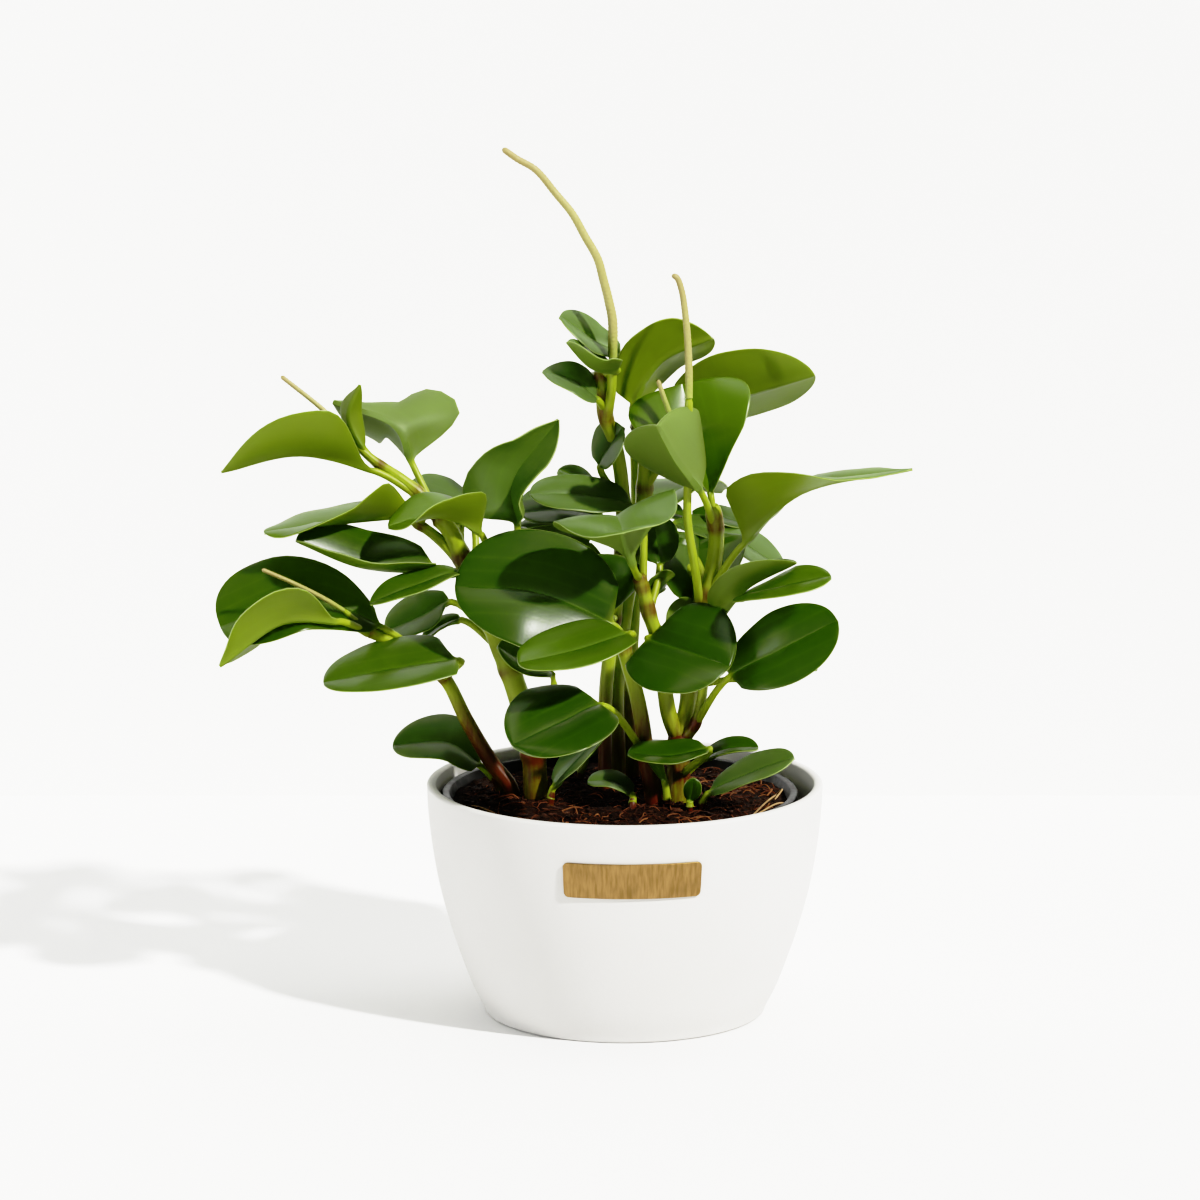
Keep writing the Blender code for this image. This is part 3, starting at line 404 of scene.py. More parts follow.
        "leaves": [leaf((17, -14, 90), (16, -14, 97), (12, -14, 106), (7, -14, 114), 6,
              (-0.6, -0.5, 0.6))]},
    "shoot_round": {"tubes": [(1.2, 1.0, foot(26, -22) + [(26, -22, 91)])],
        "leaves": [leaf((26, -22, 89), (26, -22, 91), (27, -23, 96), (27.5, -24, 101), 7, (0, -0.9, 0.2))]},
}

# how old each leaf looks, and how much grey bloom and painted sheen it carries, in the order above
looks = {
    "stem_low_left": "dark young mid mid",
    "stem_left": "young young grey young dark mid young mid grey pale mid mid mid mid",
    "stem_tall": "mid dark dark bloom grey grey bloom dark mid",
    "stem_middle": "young grey grey",
    "stem_dark": "young mid mid mid",
    "stem_front": "deep fresh deep",
    "stem_right": "young pale mid grey dark mid mid mid grey dark young mid fresh dark deep dark dark "
                  "mid mid",
    "shoot_left": "bloom",
    "shoot_middle": "bloom",
    "shoot_back": "bloom",
    "shoot_front": "bloom",
    "shoot_right": "bloom",
    "shoot_yellow": "young",
    "shoot_round": "dark",
}

# youth, and grey bloom, which also paints a sheen and pale sunlit undersides
ages = {"deep": (0.0, 0.0), "dark": (0.12, 0.0), "mid": (0.35, 0.1), "fresh": (0.6, 0.0),
        "young": (0.9, 0.0), "grey": (0.5, 0.55), "bloom": (0.15, 0.75), "pale": (0.8, 0.7)}

leafBuild = {
    "thick": 1.2,
    "rim": 0.75,
    "petiole": 1.4,
    "petioleFoot": 1.75,      # petioles are a little thicker where they leave the stem
    "ribDepth": 0.45,         # how far the midrib stands out below, at the tip end
    "groove": 0.3,            # and sinks in above
    "across": (0, 0.03, 0.07, 0.13, 0.22, 0.34, 0.48, 0.62, 0.76, 0.88, 0.96, 1.0),
    "stalkRings": 9,
    "bladeRings": 30,
    "wave": 0.5,
    "opens": 0.09,            # over this share of the blade the petiole opens into it
}


def halfSection(fold, cup, half, share):  # a point of an arc that starts at the midrib
    turn = 2 * cup
    start = fold - cup
    if abs(turn) < 0.02:
        turn = 0.02
    size = half * (turn / 2) / sin(turn / 2) / turn
    angle = start + turn * share
    return size * (sin(angle) - sin(start)), size * (cos(start) - cos(angle)), angle


def leafShape(shape, leaf, look, seed):
    build = leafBuild
    youth, bloom = ages[look]
    random.seed(seed)
    youth = min(max(youth + random.uniform(-0.08, 0.08), 0), 1)
    path = smoothPath([leaf["root"], leaf["base"], leaf["middle"], leaf["tip"]], 24)
    facing = Vector(leaf["facing"]).normalized()
    across = build["across"]
    steps = [-share for share in reversed(across[1:])] + list(across)
    columns = len(steps)
    turn = pi / (columns + 1)
    topAngles = [pi - turn * (n + 1) for n in range(columns)]
    angles = [pi] + topAngles + [0] + [-angle for angle in reversed(topAngles)]

    def circle(centre, direction, radius):
        up = (facing - direction * facing.dot(direction)).normalized()
        right = direction.cross(up)
        return [centre + (right * cos(angle) + up * sin(angle)) * radius for angle in angles]

    rings, blades, tints = [], [], []
    stalkShares = [n / build["stalkRings"] for n in range(build["stalkRings"])]
    for share, (centre, direction) in zip(stalkShares, along(path[:25], stalkShares)[0]):
        radius = build["petiole"] + (build["petioleFoot"] - build["petiole"]) * (1 - share) ** 2
        rings.append(circle(centre, direction, radius))
        blades.append([(0.5, 0, 0.5, 1)] * len(angles))
        tints.append([(youth, 0, 0.25 * (1 - share) ** 2, 1)] * len(angles))
    taper = leaf["point"] * leaf["belly"] / (1 - leaf["belly"])
    peak = leaf["belly"] ** taper * (1 - leaf["belly"]) ** leaf["point"]
    shares = [(1 - cos(pi * n / build["bladeRings"])) / 2 for n in range(build["bladeRings"] + 1)]
    for share, (centre, direction) in zip(shares, along(path[24:], shares)[0]):
        up = (facing - direction * facing.dot(direction)).normalized()
        right = direction.cross(up)
        half = leaf["width"] / 2 * share ** taper * (1 - share) ** leaf["point"] / peak
        half *= eased(share / leaf["wedge"])
        half = max(half, build["petiole"] if share < 0.3 else 0.35)
        tops, unders, topLook, underLook = [], [], [], []
        for step in steps:
            side = 1 if step >= 0 else -1
            fold = radians(valueAt(leaf["right"] if side > 0 else leaf["left"], share))
            cup = radians(8) + 0.32 * max(fold - radians(25), 0)
            if fold < radians(25):
                cup = radians(-11)
            out, rise, angle = halfSection(fold, cup, half, abs(step))
            outward = right * side
            normal = up * cos(angle) - outward * sin(angle)
            spot = centre + outward * out + up * rise
            wave = noise.noise(spot / 14.0 + Vector((seed * 3.1, 0, 0))) * build["wave"]
            spot += normal * (wave * 2 * step * step)
            thick = build["thick"] + (build["rim"] - build["thick"]) * abs(step) ** 3
            thick *= 0.55 + 0.45 * min(1, half / 6)
            gap = abs(step) * half
            rib = exp(-(gap / 1.3) ** 2)
            ribDepth = build["ribDepth"] + build["petiole"] * (1 - share / 0.45) * (share < 0.45)
            tops.append(spot + normal * (thick / 2 - build["groove"] * rib * (1 - share)))
            unders.append(spot - normal * (thick / 2 + ribDepth * rib))
            place = 0.5 + step * half / 80
            topLook.append((place, share, 0, 0))
            underLook.append((place, share, 1, 0))
        edge = []
        for top, under in ((tops[0], unders[0]), (tops[-1], unders[-1])):
            side = (top - centre).normalized() * min(0.3, half * 0.2)
            edge.append((top + under) / 2 + side)
        ring = [edge[0]] + tops + [edge[1]] + unders[::-1]
        blade = [(topLook[0][0], share, 0.5, 0)] + topLook + [(topLook[-1][0], share, 0.5, 0)]
        blade += underLook[::-1]
        opened = eased(share / build["opens"])
        if opened < 1:
            stalk = circle(centre, direction, build["petiole"])
            ring = [a.lerp(b, opened) for a, b in zip(stalk, ring)]
            blade = [(p, q, r, 1 - opened) for p, q, r, s in blade]
        rings.append(ring)
        blades.append(blade)
        tints.append([(youth, bloom, 0, 1)] * len(ring))
    shape.rings(rings, blades, tints)


stemBuild = {
    "sides": 28,
    "step": 1.6,
    "ridges": 9,              # fine lengthwise ridges round a stem
    "ridgeHeight": 0.09,
    "swell": 0.17,            # how much thicker a stem is at a node
    "swellReach": 2.8,
    "brownTop": 150,          # stems turn brown below this height
    "brownFoot": 96,
}
stemBrown = {"stem_low_left": 0.9, "stem_left": 0.55, "stem_tall": 0.9, "stem_middle": 0.6,
             "stem_dark": 1.0, "stem_front": 0.95, "stem_right": 0.5}


def tubeShape(shape, name, radiusStart, radiusEnd, points, joints):
    build = stemBuild
    path = smoothPath(points, 20)
    rough = sum((b - a).length for a, b in zip(path, path[1:]))
    count = max(4, int(rough / build["step"]))
    places, length = along(path, [n / count for n in range(count + 1)])
    normal = places[0][1].orthogonal().normalized()
    rings, blades, tints = [], [], []
    for n, (centre, direction) in enumerate(places):
        normal = (normal - direction * normal.dot(direction)).normalized()
        side = direction.cross(normal)
        radius = radiusStart + (radiusEnd - radiusStart) * n / count
        near = min([(centre - joint).length for joint in joints] + [99])
        node = exp(-(near / build["swellReach"]) ** 2)
        low = eased((build["brownTop"] - centre.z) / (build["brownTop"] - build["brownFoot"]))
        brown = min(1, low * stemBrown.get(name, 0.4) + node * 0.6)
        radius *= 1 + build["swell"] * node
        if n == count:
            radius *= 0.75
        ring = []
        for k in range(build["sides"]):
            angle = 2 * pi * k / build["sides"]
            bump = build["ridgeHeight"] * sin(build["ridges"] * angle + noise.noise(centre / 20) * 3)
            reach = radius + bump * min(1, radius / 3)
            ring.append(centre + normal * (reach * cos(angle)) + side * (reach * sin(angle)))
        rings.append(ring)
        blades.append([(0.5, n / count, 0.5, 1)] * len(ring))
        tints.append([(0.6, 0, brown, 1)] * len(ring))
    shape.rings(rings, blades, tints)


leafColours = {
    "topOld": (0.026, 0.055, 0.001),
    "topYoung": (0.085, 0.150, 0.002),
    "underOld": (0.070, 0.115, 0.010),
    "underYoung": (0.150, 0.200, 0.008),
    # bloom: the grey of a waxy bloom, also used as a painted sheen
    "bloom": (0.150, 0.210, 0.100),
    # rim: a painted glow of light through the thin blade edge
    "rim": (0.420, 0.500, 0.180),
    "vein": (0.170, 0.300, 0.040),
    "stalk": (0.340, 0.410, 0.035),
    "brown": (0.110, 0.022, 0.008),
    "through": (0.34, 0.46, 0.0),     # light that comes through a blade
    "throughShare": 0.32,
}


def leafFinish(name, colours=leafColours):
    finish = Finish(name, Roughness=0.3, Specular_IOR_Level=0.5)
    blade = finish.node("ShaderNodeAttribute", {"attribute_name": "blade"}, (), 0)
    tint = finish.node("ShaderNodeAttribute", {"attribute_name": "tint"}, (), 0)
    stalk = finish.node("ShaderNodeAttribute", {"attribute_name": "blade"}, (), 3)
    parts = [finish.node("ShaderNodeSeparateColor", {}, [blade], n) for n in range(3)]
    across = (parts[0] - 0.5) * 80
    share, under = parts[1], parts[2]
    youth, bloom, brown = (finish.node("ShaderNodeSeparateColor", {}, [tint], n) for n in range(3))

    mottle = finish.grain(0.012, 3)
    fine = finish.grain(0.0016, 2)
    top = finish.mix(youth * 0.9 + mottle * 0.25 - 0.1, colours["topOld"], colours["topYoung"])
    # grey laid over the upper side: partly its waxy bloom, partly a painted sheen
    top = finish.mix(bloom * (mottle * 0.5 + 0.3), top, colours["bloom"])
    below = finish.mix(youth * 0.9 + mottle * 0.3 - 0.1, colours["underOld"], colours["underYoung"])
    # and over the underside, where it also paints the pale look of sunlit undersides
    below = finish.mix(bloom * 0.5, below, colours["bloom"])

    # veins: one midrib, and fainter ones that run with it from base to tip
    wander = across + (mottle - 0.5) * 1.2
    midrib = across.bell(0.75) * (1 - share) ** 0.7
    ribs = (wander.sum("ABSOLUTE", wander) - 6.5).bell(0.5) + (wander.sum("ABSOLUTE", wander) - 12).bell(0.5)
    veins = (midrib * 0.28 + ribs * 0.07) * (fine * 0.5 + 0.75)
    top = finish.mix(veins, top, colours["vein"])
    below = finish.mix(veins * 0.8, below, colours["vein"])
    leafColour = finish.mix(under, top, below)
    # painted glow: a pale line along the blade edge stands in for light shining through it
    edge = (under - 0.5).bell(0.22)
    leafColour = finish.mix(edge * (1 - stalk) * 0.8, leafColour, colours["rim"])

    # stalks and stems, brown at the nodes and near the soil, with fine specks
    specks = finish.grain(0.0009, 2).within(0.56, 0.7)
    streaks = finish.grain(0.004, 3, (3, 3, 0.25))
    stalkColour = finish.mix(streaks * 0.5, colours["stalk"], colours["underYoung"])
    browned = (brown * 1.25 + (streaks - 0.5) * brown * 1.6 + specks * 0.12).within(0.0, 1.0)
    stalkColour = finish.mix(browned, stalkColour, colours["brown"])
    finish.colour(finish.mix(stalk, leafColour, stalkColour))
    finish.roughness((under * 0.16 + bloom * 0.12 + 0.27 + fine * 0.08) * (1 - stalk) + stalk * 0.42)
    peel = finish.grain(0.0011, 2)
    finish.relief(peel * 0.16 + veins * -0.6 * (1 - stalk) + streaks * stalk, 0.00012)

    glow = finish.node("ShaderNodeBsdfTranslucent", {}, {"Color": colours["through"]})
    mixed = finish.node("ShaderNodeMixShader", {}, {0: colours["throughShare"],
                        1: Link(finish, finish.shader.outputs[0]), 2: glow})
    finish.feed(finish.tree.nodes["Material Output"].inputs["Surface"], mixed)
    return finish


waxyLeaf = leafFinish("waxyLeaf")
for stemName, stem in stems.items():
    shape = Shape()
    joints = [Vector(points[0]) for start, end, points in stem["tubes"][1:]]
    joints += [Vector(each["root"]) for each in stem["leaves"]]
    for radiusStart, radiusEnd, points in stem["tubes"]:
        tubeShape(shape, stemName, radiusStart, radiusEnd, points, joints)
    for n, (each, look) in enumerate(zip(stem["leaves"], looks[stemName].split())):
        leafShape(shape, each, look, n + 10 * len(stemName))
    slot = "young_leaf_green" if stemName.startswith("shoot") else "leaf_green"
    shape.piece(stemName + "_fine", waxyLeaf, slot, stemName)
print("stems and leaves made")

# flower spikes: slim tapering spikes covered with tiny beads
spikes = {
    "flower_spike_tall": (2.0, 1.3, [(-5, -3, 268), (-5, -3, 283), (-6.5, -3, 291), (-8.5, -3, 299),
                                     (-11, -3, 308), (-16, -3, 317), (-21, -3, 326),
                                     (-27.5, -3, 334), (-35.5, -3, 343.5), (-43, -3, 348),
                                     (-48.6, -3, 352)]),
    "flower_spike_right": (1.6, 1.2, [(25.3, -18, 254), (25.2, -17, 267), (24.6, -16, 279),
                                      (23.5, -15, 290), (22.3, -14, 297), (20.4, -14, 302),
                                      (18.4, -14, 303)]),
    "flower_spike_left": (1.1, 0.9, [(-111, 0.7, 236.5), (-120.5, 2, 246), (-137.5, 4, 259.5)]),
    "flower_spike_low": (1.0, 0.8, [(-112, -26, 170), (-120, -33, 176.5), (-131, -39, 183.5),
                                    (-143.5, -43, 190)]),
    "flower_spike_young": (1.2, 0.9, [(17.5, -15, 248), (15, -14.5, 255), (13, -14, 261)]),
}
spikeBuild = {"sides": 22, "step": 0.42, "beads": 9, "beadRise": 0.11, "beadLength": 1.15}


def spikeShape(shape, radiusStart, radiusEnd, points):
    build = spikeBuild
    first = Vector(points[0])
    lifted = first + (Vector(points[1]) - first).normalized() * 0.3
    path = smoothPath([lifted] + list(points[1:]), 24)
    rough = sum((b - a).length for a, b in zip(path, path[1:]))
    count = int(rough / build["step"])
    places, length = along(path, [n / count for n in range(count + 1)])
    normal = places[0][1].orthogonal().normalized()
    rings, blades, tints = [], [], []
    for n, (centre, direction) in enumerate(places):
        normal = (normal - direction * normal.dot(direction)).normalized()
        side = direction.cross(normal)
        share = n / count
        radius = radiusStart + (radiusEnd - radiusStart) * share
        left = length * (1 - share)
        radius *= min(1, (left / radius + 0.12) ** 0.5) if left < radius else 1
        ring = []
        for k in range(build["sides"]):
            angle = 2 * pi * k / build["sides"]
            row = share * length / build["beadLength"]
            bead = sin(pi * row * 2) * sin(build["beads"] * angle + pi * int(row * 2))
            bead = abs(bead) * build["beadRise"] * eased(share * length / 8)
            reach = radius * (1 + bead - build["beadRise"] * 0.5)
            ring.append(centre + normal * (reach * cos(angle)) + side * (reach * sin(angle)))
        rings.append(ring)
        blades.append([(0.5, share, 0.5, 1)] * len(ring))
        tints.append([(1 - eased(share * length / 14), 0, 0, 1)] * len(ring))
    shape.rings(rings, blades, tints)


spikeColours = {"stalk": (0.23, 0.28, 0.05), "cream": (0.27, 0.25, 0.085), "tip": (0.24, 0.19, 0.075)}


def spikeFinish():
    finish = Finish("beadedSpike", Roughness=0.55)
    tint = finish.node("ShaderNodeAttribute", {"attribute_name": "tint"}, (), 0)
    blade = finish.node("ShaderNodeAttribute", {"attribute_name": "blade"}, (), 0)
    green = finish.node("ShaderNodeSeparateColor", {}, [tint], 0)
    share = finish.node("ShaderNodeSeparateColor", {}, [blade], 1)
    grain = finish.grain(0.0009, 3)
    body = finish.mix(share.within(0.55, 1.0) * 0.8, spikeColours["cream"], spikeColours["tip"])
    body = finish.mix(green, body, spikeColours["stalk"])
    finish.colour(finish.mix(grain.within(0.35, 0.7) * 0.35, body, (0.20, 0.17, 0.05)))
    finish.roughness(grain * 0.2 + 0.45)
    finish.relief(grain, 0.0002)
    return finish


beadedSpike = spikeFinish()
for spikeName, (radiusStart, radiusEnd, points) in spikes.items():
    shape = Shape()
    spikeShape(shape, radiusStart, radiusEnd, points)
    shape.piece(spikeName + "_fine", beadedSpike, "flower_spike_cream", spikeName)
print("flower spikes made")

# the white bowl
potBuild = {
    "outline": ((0, 56.5), (3, 57.7), (11, 61.7), (24, 66.6), (36, 70.6), (52.6, 75.0), (69, 77.9),
                (82, 79.4), (93.3, 80.0)),      # height and outer radius
    "height": 94.5,
    "wall": 3.7,
    "floor": 5.0,
    "sides": 160,
}


def lathe(outline, sides, centreX=0.0):  # a solid turned round the vertical, from axis to axis
    shape = Shape()
    points = [(radius, height) for radius, height in outline if radius > 0]
    rings = [[Vector((centreX + radius * cos(2 * pi * n / sides), radius * sin(2 * pi * n / sides),
                      height)) for n in range(sides)] for radius, height in points]
    blank = [[(0, 0, 0, 0)] * sides for ring in rings]
    shape.rings(rings, blank, blank)
    return shape


def potRadius(height):
    for (z0, r0), (z1, r1) in zip(potBuild["outline"], potBuild["outline"][1:]):
        if height <= z1:
            return r0 + (r1 - r0) * (height - z0) / (z1 - z0)
    return potBuild["outline"][-1][1]


def potOutline():
    build = potBuild
    curve = smoothPath([(radius, 0, height) for height, radius in build["outline"]], 5)
    outer = [(point.x, point.z) for point in curve]
    rimX, rimZ = outer[-1]
    middle = rimX - build["wall"] / 2
    round = [(middle + build["wall"] / 2 * cos(radians(a)),
              rimZ + (build["height"] - rimZ) * sin(radians(a))) for a in range(15, 180, 15)]
    inner = [(radius - build["wall"], height) for radius, height in reversed(outer)
             if height > build["floor"] + 6]
    low = potRadius(build["floor"] + 6) - build["wall"]
    corner = [(low - 5 * (1 - cos(radians(a))) - 1, build["floor"] + 5 * (1 - sin(radians(a))))
              for a in range(0, 91, 15)]
    foot = [(outer[0][0] - 1.2, 0.0), (outer[0][0] - 0.4, 0.25)]
    return [(1.0, 0.0)] + foot + outer[1:] + round + inner + corner + [(1.0, build["floor"])]


def chalkFinish():
    finish = Finish("chalkWhite", Roughness=0.6, Specular_IOR_Level=0.35)
    wide = finish.grain(0.05, 3)
    fine = finish.grain(0.0022, 3)
    finish.colour(finish.mix(wide.within(0.3, 0.75) * 0.5 + fine * 0.1,
                             (0.56, 0.55, 0.53), (0.52, 0.51, 0.49)))
    finish.roughness(fine * 0.15 + 0.52)
    finish.relief(fine + wide * 0.5, 0.00008)
    return finish


lathe(potOutline(), potBuild["sides"]).piece("cover_pot_fine", chalkFinish(), "white_ceramic",
                                             "cover_pot")

# the grow pot inside it, with a rolled lip and drain holes
growBuild = {"centreX": -2.0, "foot": 5.3, "height": 90.5, "topRadius": 70.0, "footRadius": 51.0,
             "wall": 1.2, "lip": 2.0, "lipDepth": 3.0, "sides": 144,
             "drains": 5, "drainRadius": 4.0, "drainCircle": 34.0}


def growRadius(height):
    build = growBuild
    share = (height - build["foot"]) / (build["height"] - build["foot"])
    return build["footRadius"] + (build["topRadius"] - build["footRadius"]) * share


def growShape():
    build = growBuild
    lipZ = build["height"] - build["lipDepth"]
    lipX = build["topRadius"] + build["lip"]
    roll = [(lipX - 0.8 + 0.8 * cos(radians(a)), build["height"] - 0.8 + 0.8 * sin(radians(a)))
            for a in range(0, 91, 18)]
    outline = [(1, build["foot"]), (build["footRadius"] - 1, build["foot"]),
               (growRadius(build["foot"] + 1), build["foot"] + 1), (growRadius(lipZ), lipZ),
               (growRadius(lipZ) + build["lip"], lipZ)] + roll
    outline += [(build["topRadius"] - build["wall"] + 0.4, build["height"]),
                (build["topRadius"] - build["wall"], build["height"] - 0.4),
                (build["footRadius"] - build["wall"], build["foot"] + build["wall"]),
                (1, build["foot"] + build["wall"])]
    return lathe(outline, build["sides"], build["centreX"])


def plasticFinish():
    finish = Finish("blackPlastic", Roughness=0.4, Specular_IOR_Level=0.3)
    fine = finish.grain(0.003, 4)
    dust = finish.grain(0.009, 3).within(0.45, 0.8)
    finish.colour(finish.mix(dust * 0.5, (0.006, 0.006, 0.006), (0.03, 0.028, 0.022)))
    finish.roughness(fine * 0.25 + dust * 0.2 + 0.28)
    finish.relief(fine, 0.00006)
    return finish


growPot = growShape().piece("grow_pot_fine", plasticFinish(), "black_plastic", "grow_pot")
drains = bpy.data.collections.new("drains")
scene.collection.children.link(drains)
for n in range(growBuild["drains"]):
    angle = 2 * pi * n / growBuild["drains"]
    bpy.ops.mesh.primitive_cylinder_add(vertices=32, radius=growBuild["drainRadius"] * mm, depth=0.01,
                                        location=((growBuild["centreX"]
                                                   + growBuild["drainCircle"] * cos(angle)) * mm,
                                                  growBuild["drainCircle"] * sin(angle) * mm,
                                                  growBuild["foot"] * mm))
    drill = bpy.context.object
    for old in list(drill.users_collection):
        old.objects.unlink(drill)
    drains.objects.link(drill)
drilled = growPot.modifiers.new("drains", "BOOLEAN")
drilled.operation = "DIFFERENCE"
drilled.operand_type = "COLLECTION"
drilled.collection = drains
drilled.solver = "EXACT"
graph = bpy.context.evaluated_depsgraph_get()
cleanMesh = bpy.data.meshes.new_from_object(growPot.evaluated_get(graph))
growPot.modifiers.clear()
growPot.data = cleanMesh
for drill in list(drains.objects):
    bpy.data.objects.remove(drill, do_unlink=True)
bpy.data.collections.remove(drains)
print("pots made")

# peat, with bark, fibres and a few pale roots on it
peatBuild = {
    "top": 86.5, "hill": 1.5, "floor": 7.1, "rings": 78, "sides": 300,
    "lumps": ((11.0, 1.4), (4.5, 0.9), (1.8, 0.55)),      # size and height of the unevenness
    "fibres": 520, "chips": 420, "crumbs": 900, "roots": 9,
    "seed": 11,
}


def peatHeight(x, y):
    build = peatBuild
    reach = math.hypot(x - growBuild["centreX"], y)
    edge = growRadius(build["top"]) - growBuild["wall"]
    height = build["top"] + build["hill"] * (1 - (reach / edge) ** 2)
    for size, rise in build["lumps"]:
        height += rise * noise.noise(Vector((x, y, size * 7)) / size)
    return height


def peatShape():
    build = peatBuild
    shape = Shape()
    topRadius = growRadius(build["top"]) - growBuild["wall"] - 0.3
    lowRadius = growRadius(build["floor"]) - growBuild["wall"] - 0.3
    rings = []
    radii = [lowRadius] + [topRadius * (1 - n / build["rings"]) for n in range(build["rings"])] + [0.3]
    for n, radius in enumerate(radii):
        ring = []
        for k in range(build["sides"]):
            angle = 2 * pi * k / build["sides"]
            x = growBuild["centreX"] + radius * cos(angle)
            y = radius * sin(angle)
            ring.append(Vector((x, y, build["floor"] if n == 0 else peatHeight(x, y))))
        rings.append(ring)
    blank = [[(0, 0, 0, 0)] * build["sides"] for ring in rings]
    shape.rings(rings, blank, blank)
    return shape


def peatFinish():
    finish = Finish("peat", Roughness=0.95, Specular_IOR_Level=0.2)
    lumps = finish.grain(0.004, 6)
    fine = finish.grain(0.0009, 4)
    colour = finish.node("ShaderNodeValToRGB", {"stops": (
        (0.30, (0.004, 0.002, 0.001)), (0.48, (0.016, 0.007, 0.004)), (0.62, (0.045, 0.020, 0.010)),
        (0.78, (0.110, 0.050, 0.025)))}, [lumps * 0.55 + fine * 0.45])
    finish.colour(colour)
    finish.roughness(fine * 0.2 + 0.8)
    finish.relief(fine + lumps, 0.0008)
    return finish


peatShape().piece("soil_fine", peatFinish(), "soil", "soil")


def strand(shape, points, radius, sides=5, tint=(0, 0, 0, 1)):  # a thin root or fibre
    path = smoothPath(points, 5)
    normal = (path[1] - path[0]).orthogonal().normalized()
    rings = []
    for n, centre in enumerate(path):
        direction = (path[min(n + 1, len(path) - 1)] - path[max(n - 1, 0)]).normalized()
        normal = (normal - direction * normal.dot(direction)).normalized()
        side = direction.cross(normal)
        size = radius * (0.45 if n in (0, len(path) - 1) else 1)
        rings.append([centre + normal * (size * cos(2 * pi * k / sides))
                      + side * (size * sin(2 * pi * k / sides)) for k in range(sides)])
    looksOf = [[tint] * sides for ring in rings]
    shape.rings(rings, looksOf, looksOf)


def onPeat(reach):  # a random spot of the peat
    edge = growRadius(peatBuild["top"]) - growBuild["wall"] - 2
    radius = edge * reach * math.sqrt(random.random())
    angle = random.uniform(0, 2 * pi)
    return growBuild["centreX"] + radius * cos(angle), radius * sin(angle)


def fibres():
    random.seed(peatBuild["seed"])
    shape = Shape()
    for n in range(peatBuild["fibres"]):
        x, y = onPeat(0.97)
        angle = random.uniform(0, 2 * pi)
        length = random.uniform(4, 15)
        bend = random.uniform(-0.9, 0.9)
        lift = random.uniform(0.2, 1.2)
        points = []
        for k in range(4):
            points.append((x, y, peatHeight(x, y) + lift * sin(pi * k / 3) + random.uniform(-0.2, 0.5)))
            x += cos(angle) * length / 4
            y += sin(angle) * length / 4
            angle += bend / 2
        if math.hypot(points[-1][0] - growBuild["centreX"], points[-1][1]) > 66:
            continue
        strand(shape, points, random.uniform(0.12, 0.32), 4, (random.random(), 0, 0, 1))
    return shape


def chips():
    random.seed(peatBuild["seed"] + 1)
    shape = Shape()
    for n in range(peatBuild["chips"] + peatBuild["crumbs"]):
        x, y = onPeat(0.97)
        big = n < peatBuild["chips"]
        long = random.uniform(2.2, 6.5) if big else random.uniform(0.6, 1.6)
        wide = long * random.uniform(0.25, 0.6)
        thick = random.uniform(0.5, 1.1) if big else long * 0.5
        angle = random.uniform(0, 2 * pi)
        tilt = random.uniform(-0.35, 0.35)
        ahead = Vector((cos(angle), sin(angle), tilt)).normalized()
        side = ahead.cross(Vector((0, random.uniform(-0.3, 0.3), 1))).normalized()
        up = side.cross(ahead)
        centre = Vector((x, y, peatHeight(x, y) + thick * 0.3))
        rings = []
        for place, size in ((-0.5, 0.35), (-0.3, 0.9), (0.1, 1), (0.4, 0.75), (0.5, 0.3)):
            ring = []
            for k in range(6):
                turn = 2 * pi * k / 6
                rough = size * random.uniform(0.75, 1.1)
                ring.append(centre + ahead * (long * place) + side * (wide / 2 * rough * cos(turn))
                            + up * (thick / 2 * rough * sin(turn)))
            rings.append(ring)
        tint = [[(random.random(), 0, 0, 1)] * 6] * 5
        shape.rings(rings, tint, tint)
    return shape


def woodyFinish(name, dark, light, red):
    finish = Finish(name, Roughness=0.85, Specular_IOR_Level=0.25)
    tint = finish.node("ShaderNodeAttribute", {"attribute_name": "tint"}, (), 0)
    each = finish.node("ShaderNodeSeparateColor", {}, [tint], 0)
    grain = finish.grain(0.0012, 4, (1, 1, 0.4))
    base = finish.mix(each ** 2.2, dark, light)
    finish.colour(finish.mix(grain.within(0.45, 0.75) * 0.6, base, red))
    finish.roughness(grain * 0.3 + 0.65)
    finish.relief(grain, 0.0003)
    return finish


fibres().piece("peat_fibres", woodyFinish("redFibre", (0.035, 0.012, 0.006), (0.24, 0.11, 0.05),
                                          (0.10, 0.035, 0.015)), "soil")
chips().piece("bark_chips", woodyFinish("barkChip", (0.010, 0.005, 0.003), (0.085, 0.040, 0.022),
                                        (0.045, 0.016, 0.008)), "soil", sharp=30)
rootPaths = (
    ((48, -38, 0), (54, -32, 2), (60, -24, 4), (64, -14, 2)),
    ((58, -8, 0), (62, -12, 6), (63, -20, 9), (60, -27, 6)),
    ((50, -30, 0), (57, -27, 5), (61, -20, 7)),
    ((44, -42, 0), (50, -40, 1), (57, -34, 1)),
    ((-62, -12, 0), (-58, -20, 1), (-52, -28, 1)),
    ((30, -50, 0), (36, -49, 1), (43, -44, 1)),
    ((-30, -50, 0), (-22, -52, 1), (-14, -56, 0)),
)


def roots():
    shape = Shape()
    for path in rootPaths:
        points = [(x, y, peatHeight(x, y) + 0.3 + rise) for x, y, rise in path]
        strand(shape, points, 0.35, 7, (0.8, 0, 0, 1))
    return shape


roots().piece("pale_roots", woodyFinish("paleRoot", (0.20, 0.12, 0.05), (0.42, 0.30, 0.16),
                                        (0.16, 0.08, 0.03)), "soil")
print("peat made")

# the brass plate, bent to the bowl, with rounded corners and a soft edge
plateBuild = {"width": 54.2, "low": 64.6, "high": 79.0, "gap": 0.3, "thick": 0.9, "corner": 2.0,
              "edge": 0.28, "centreX": 2.8, "columns": 72, "rows": 16}


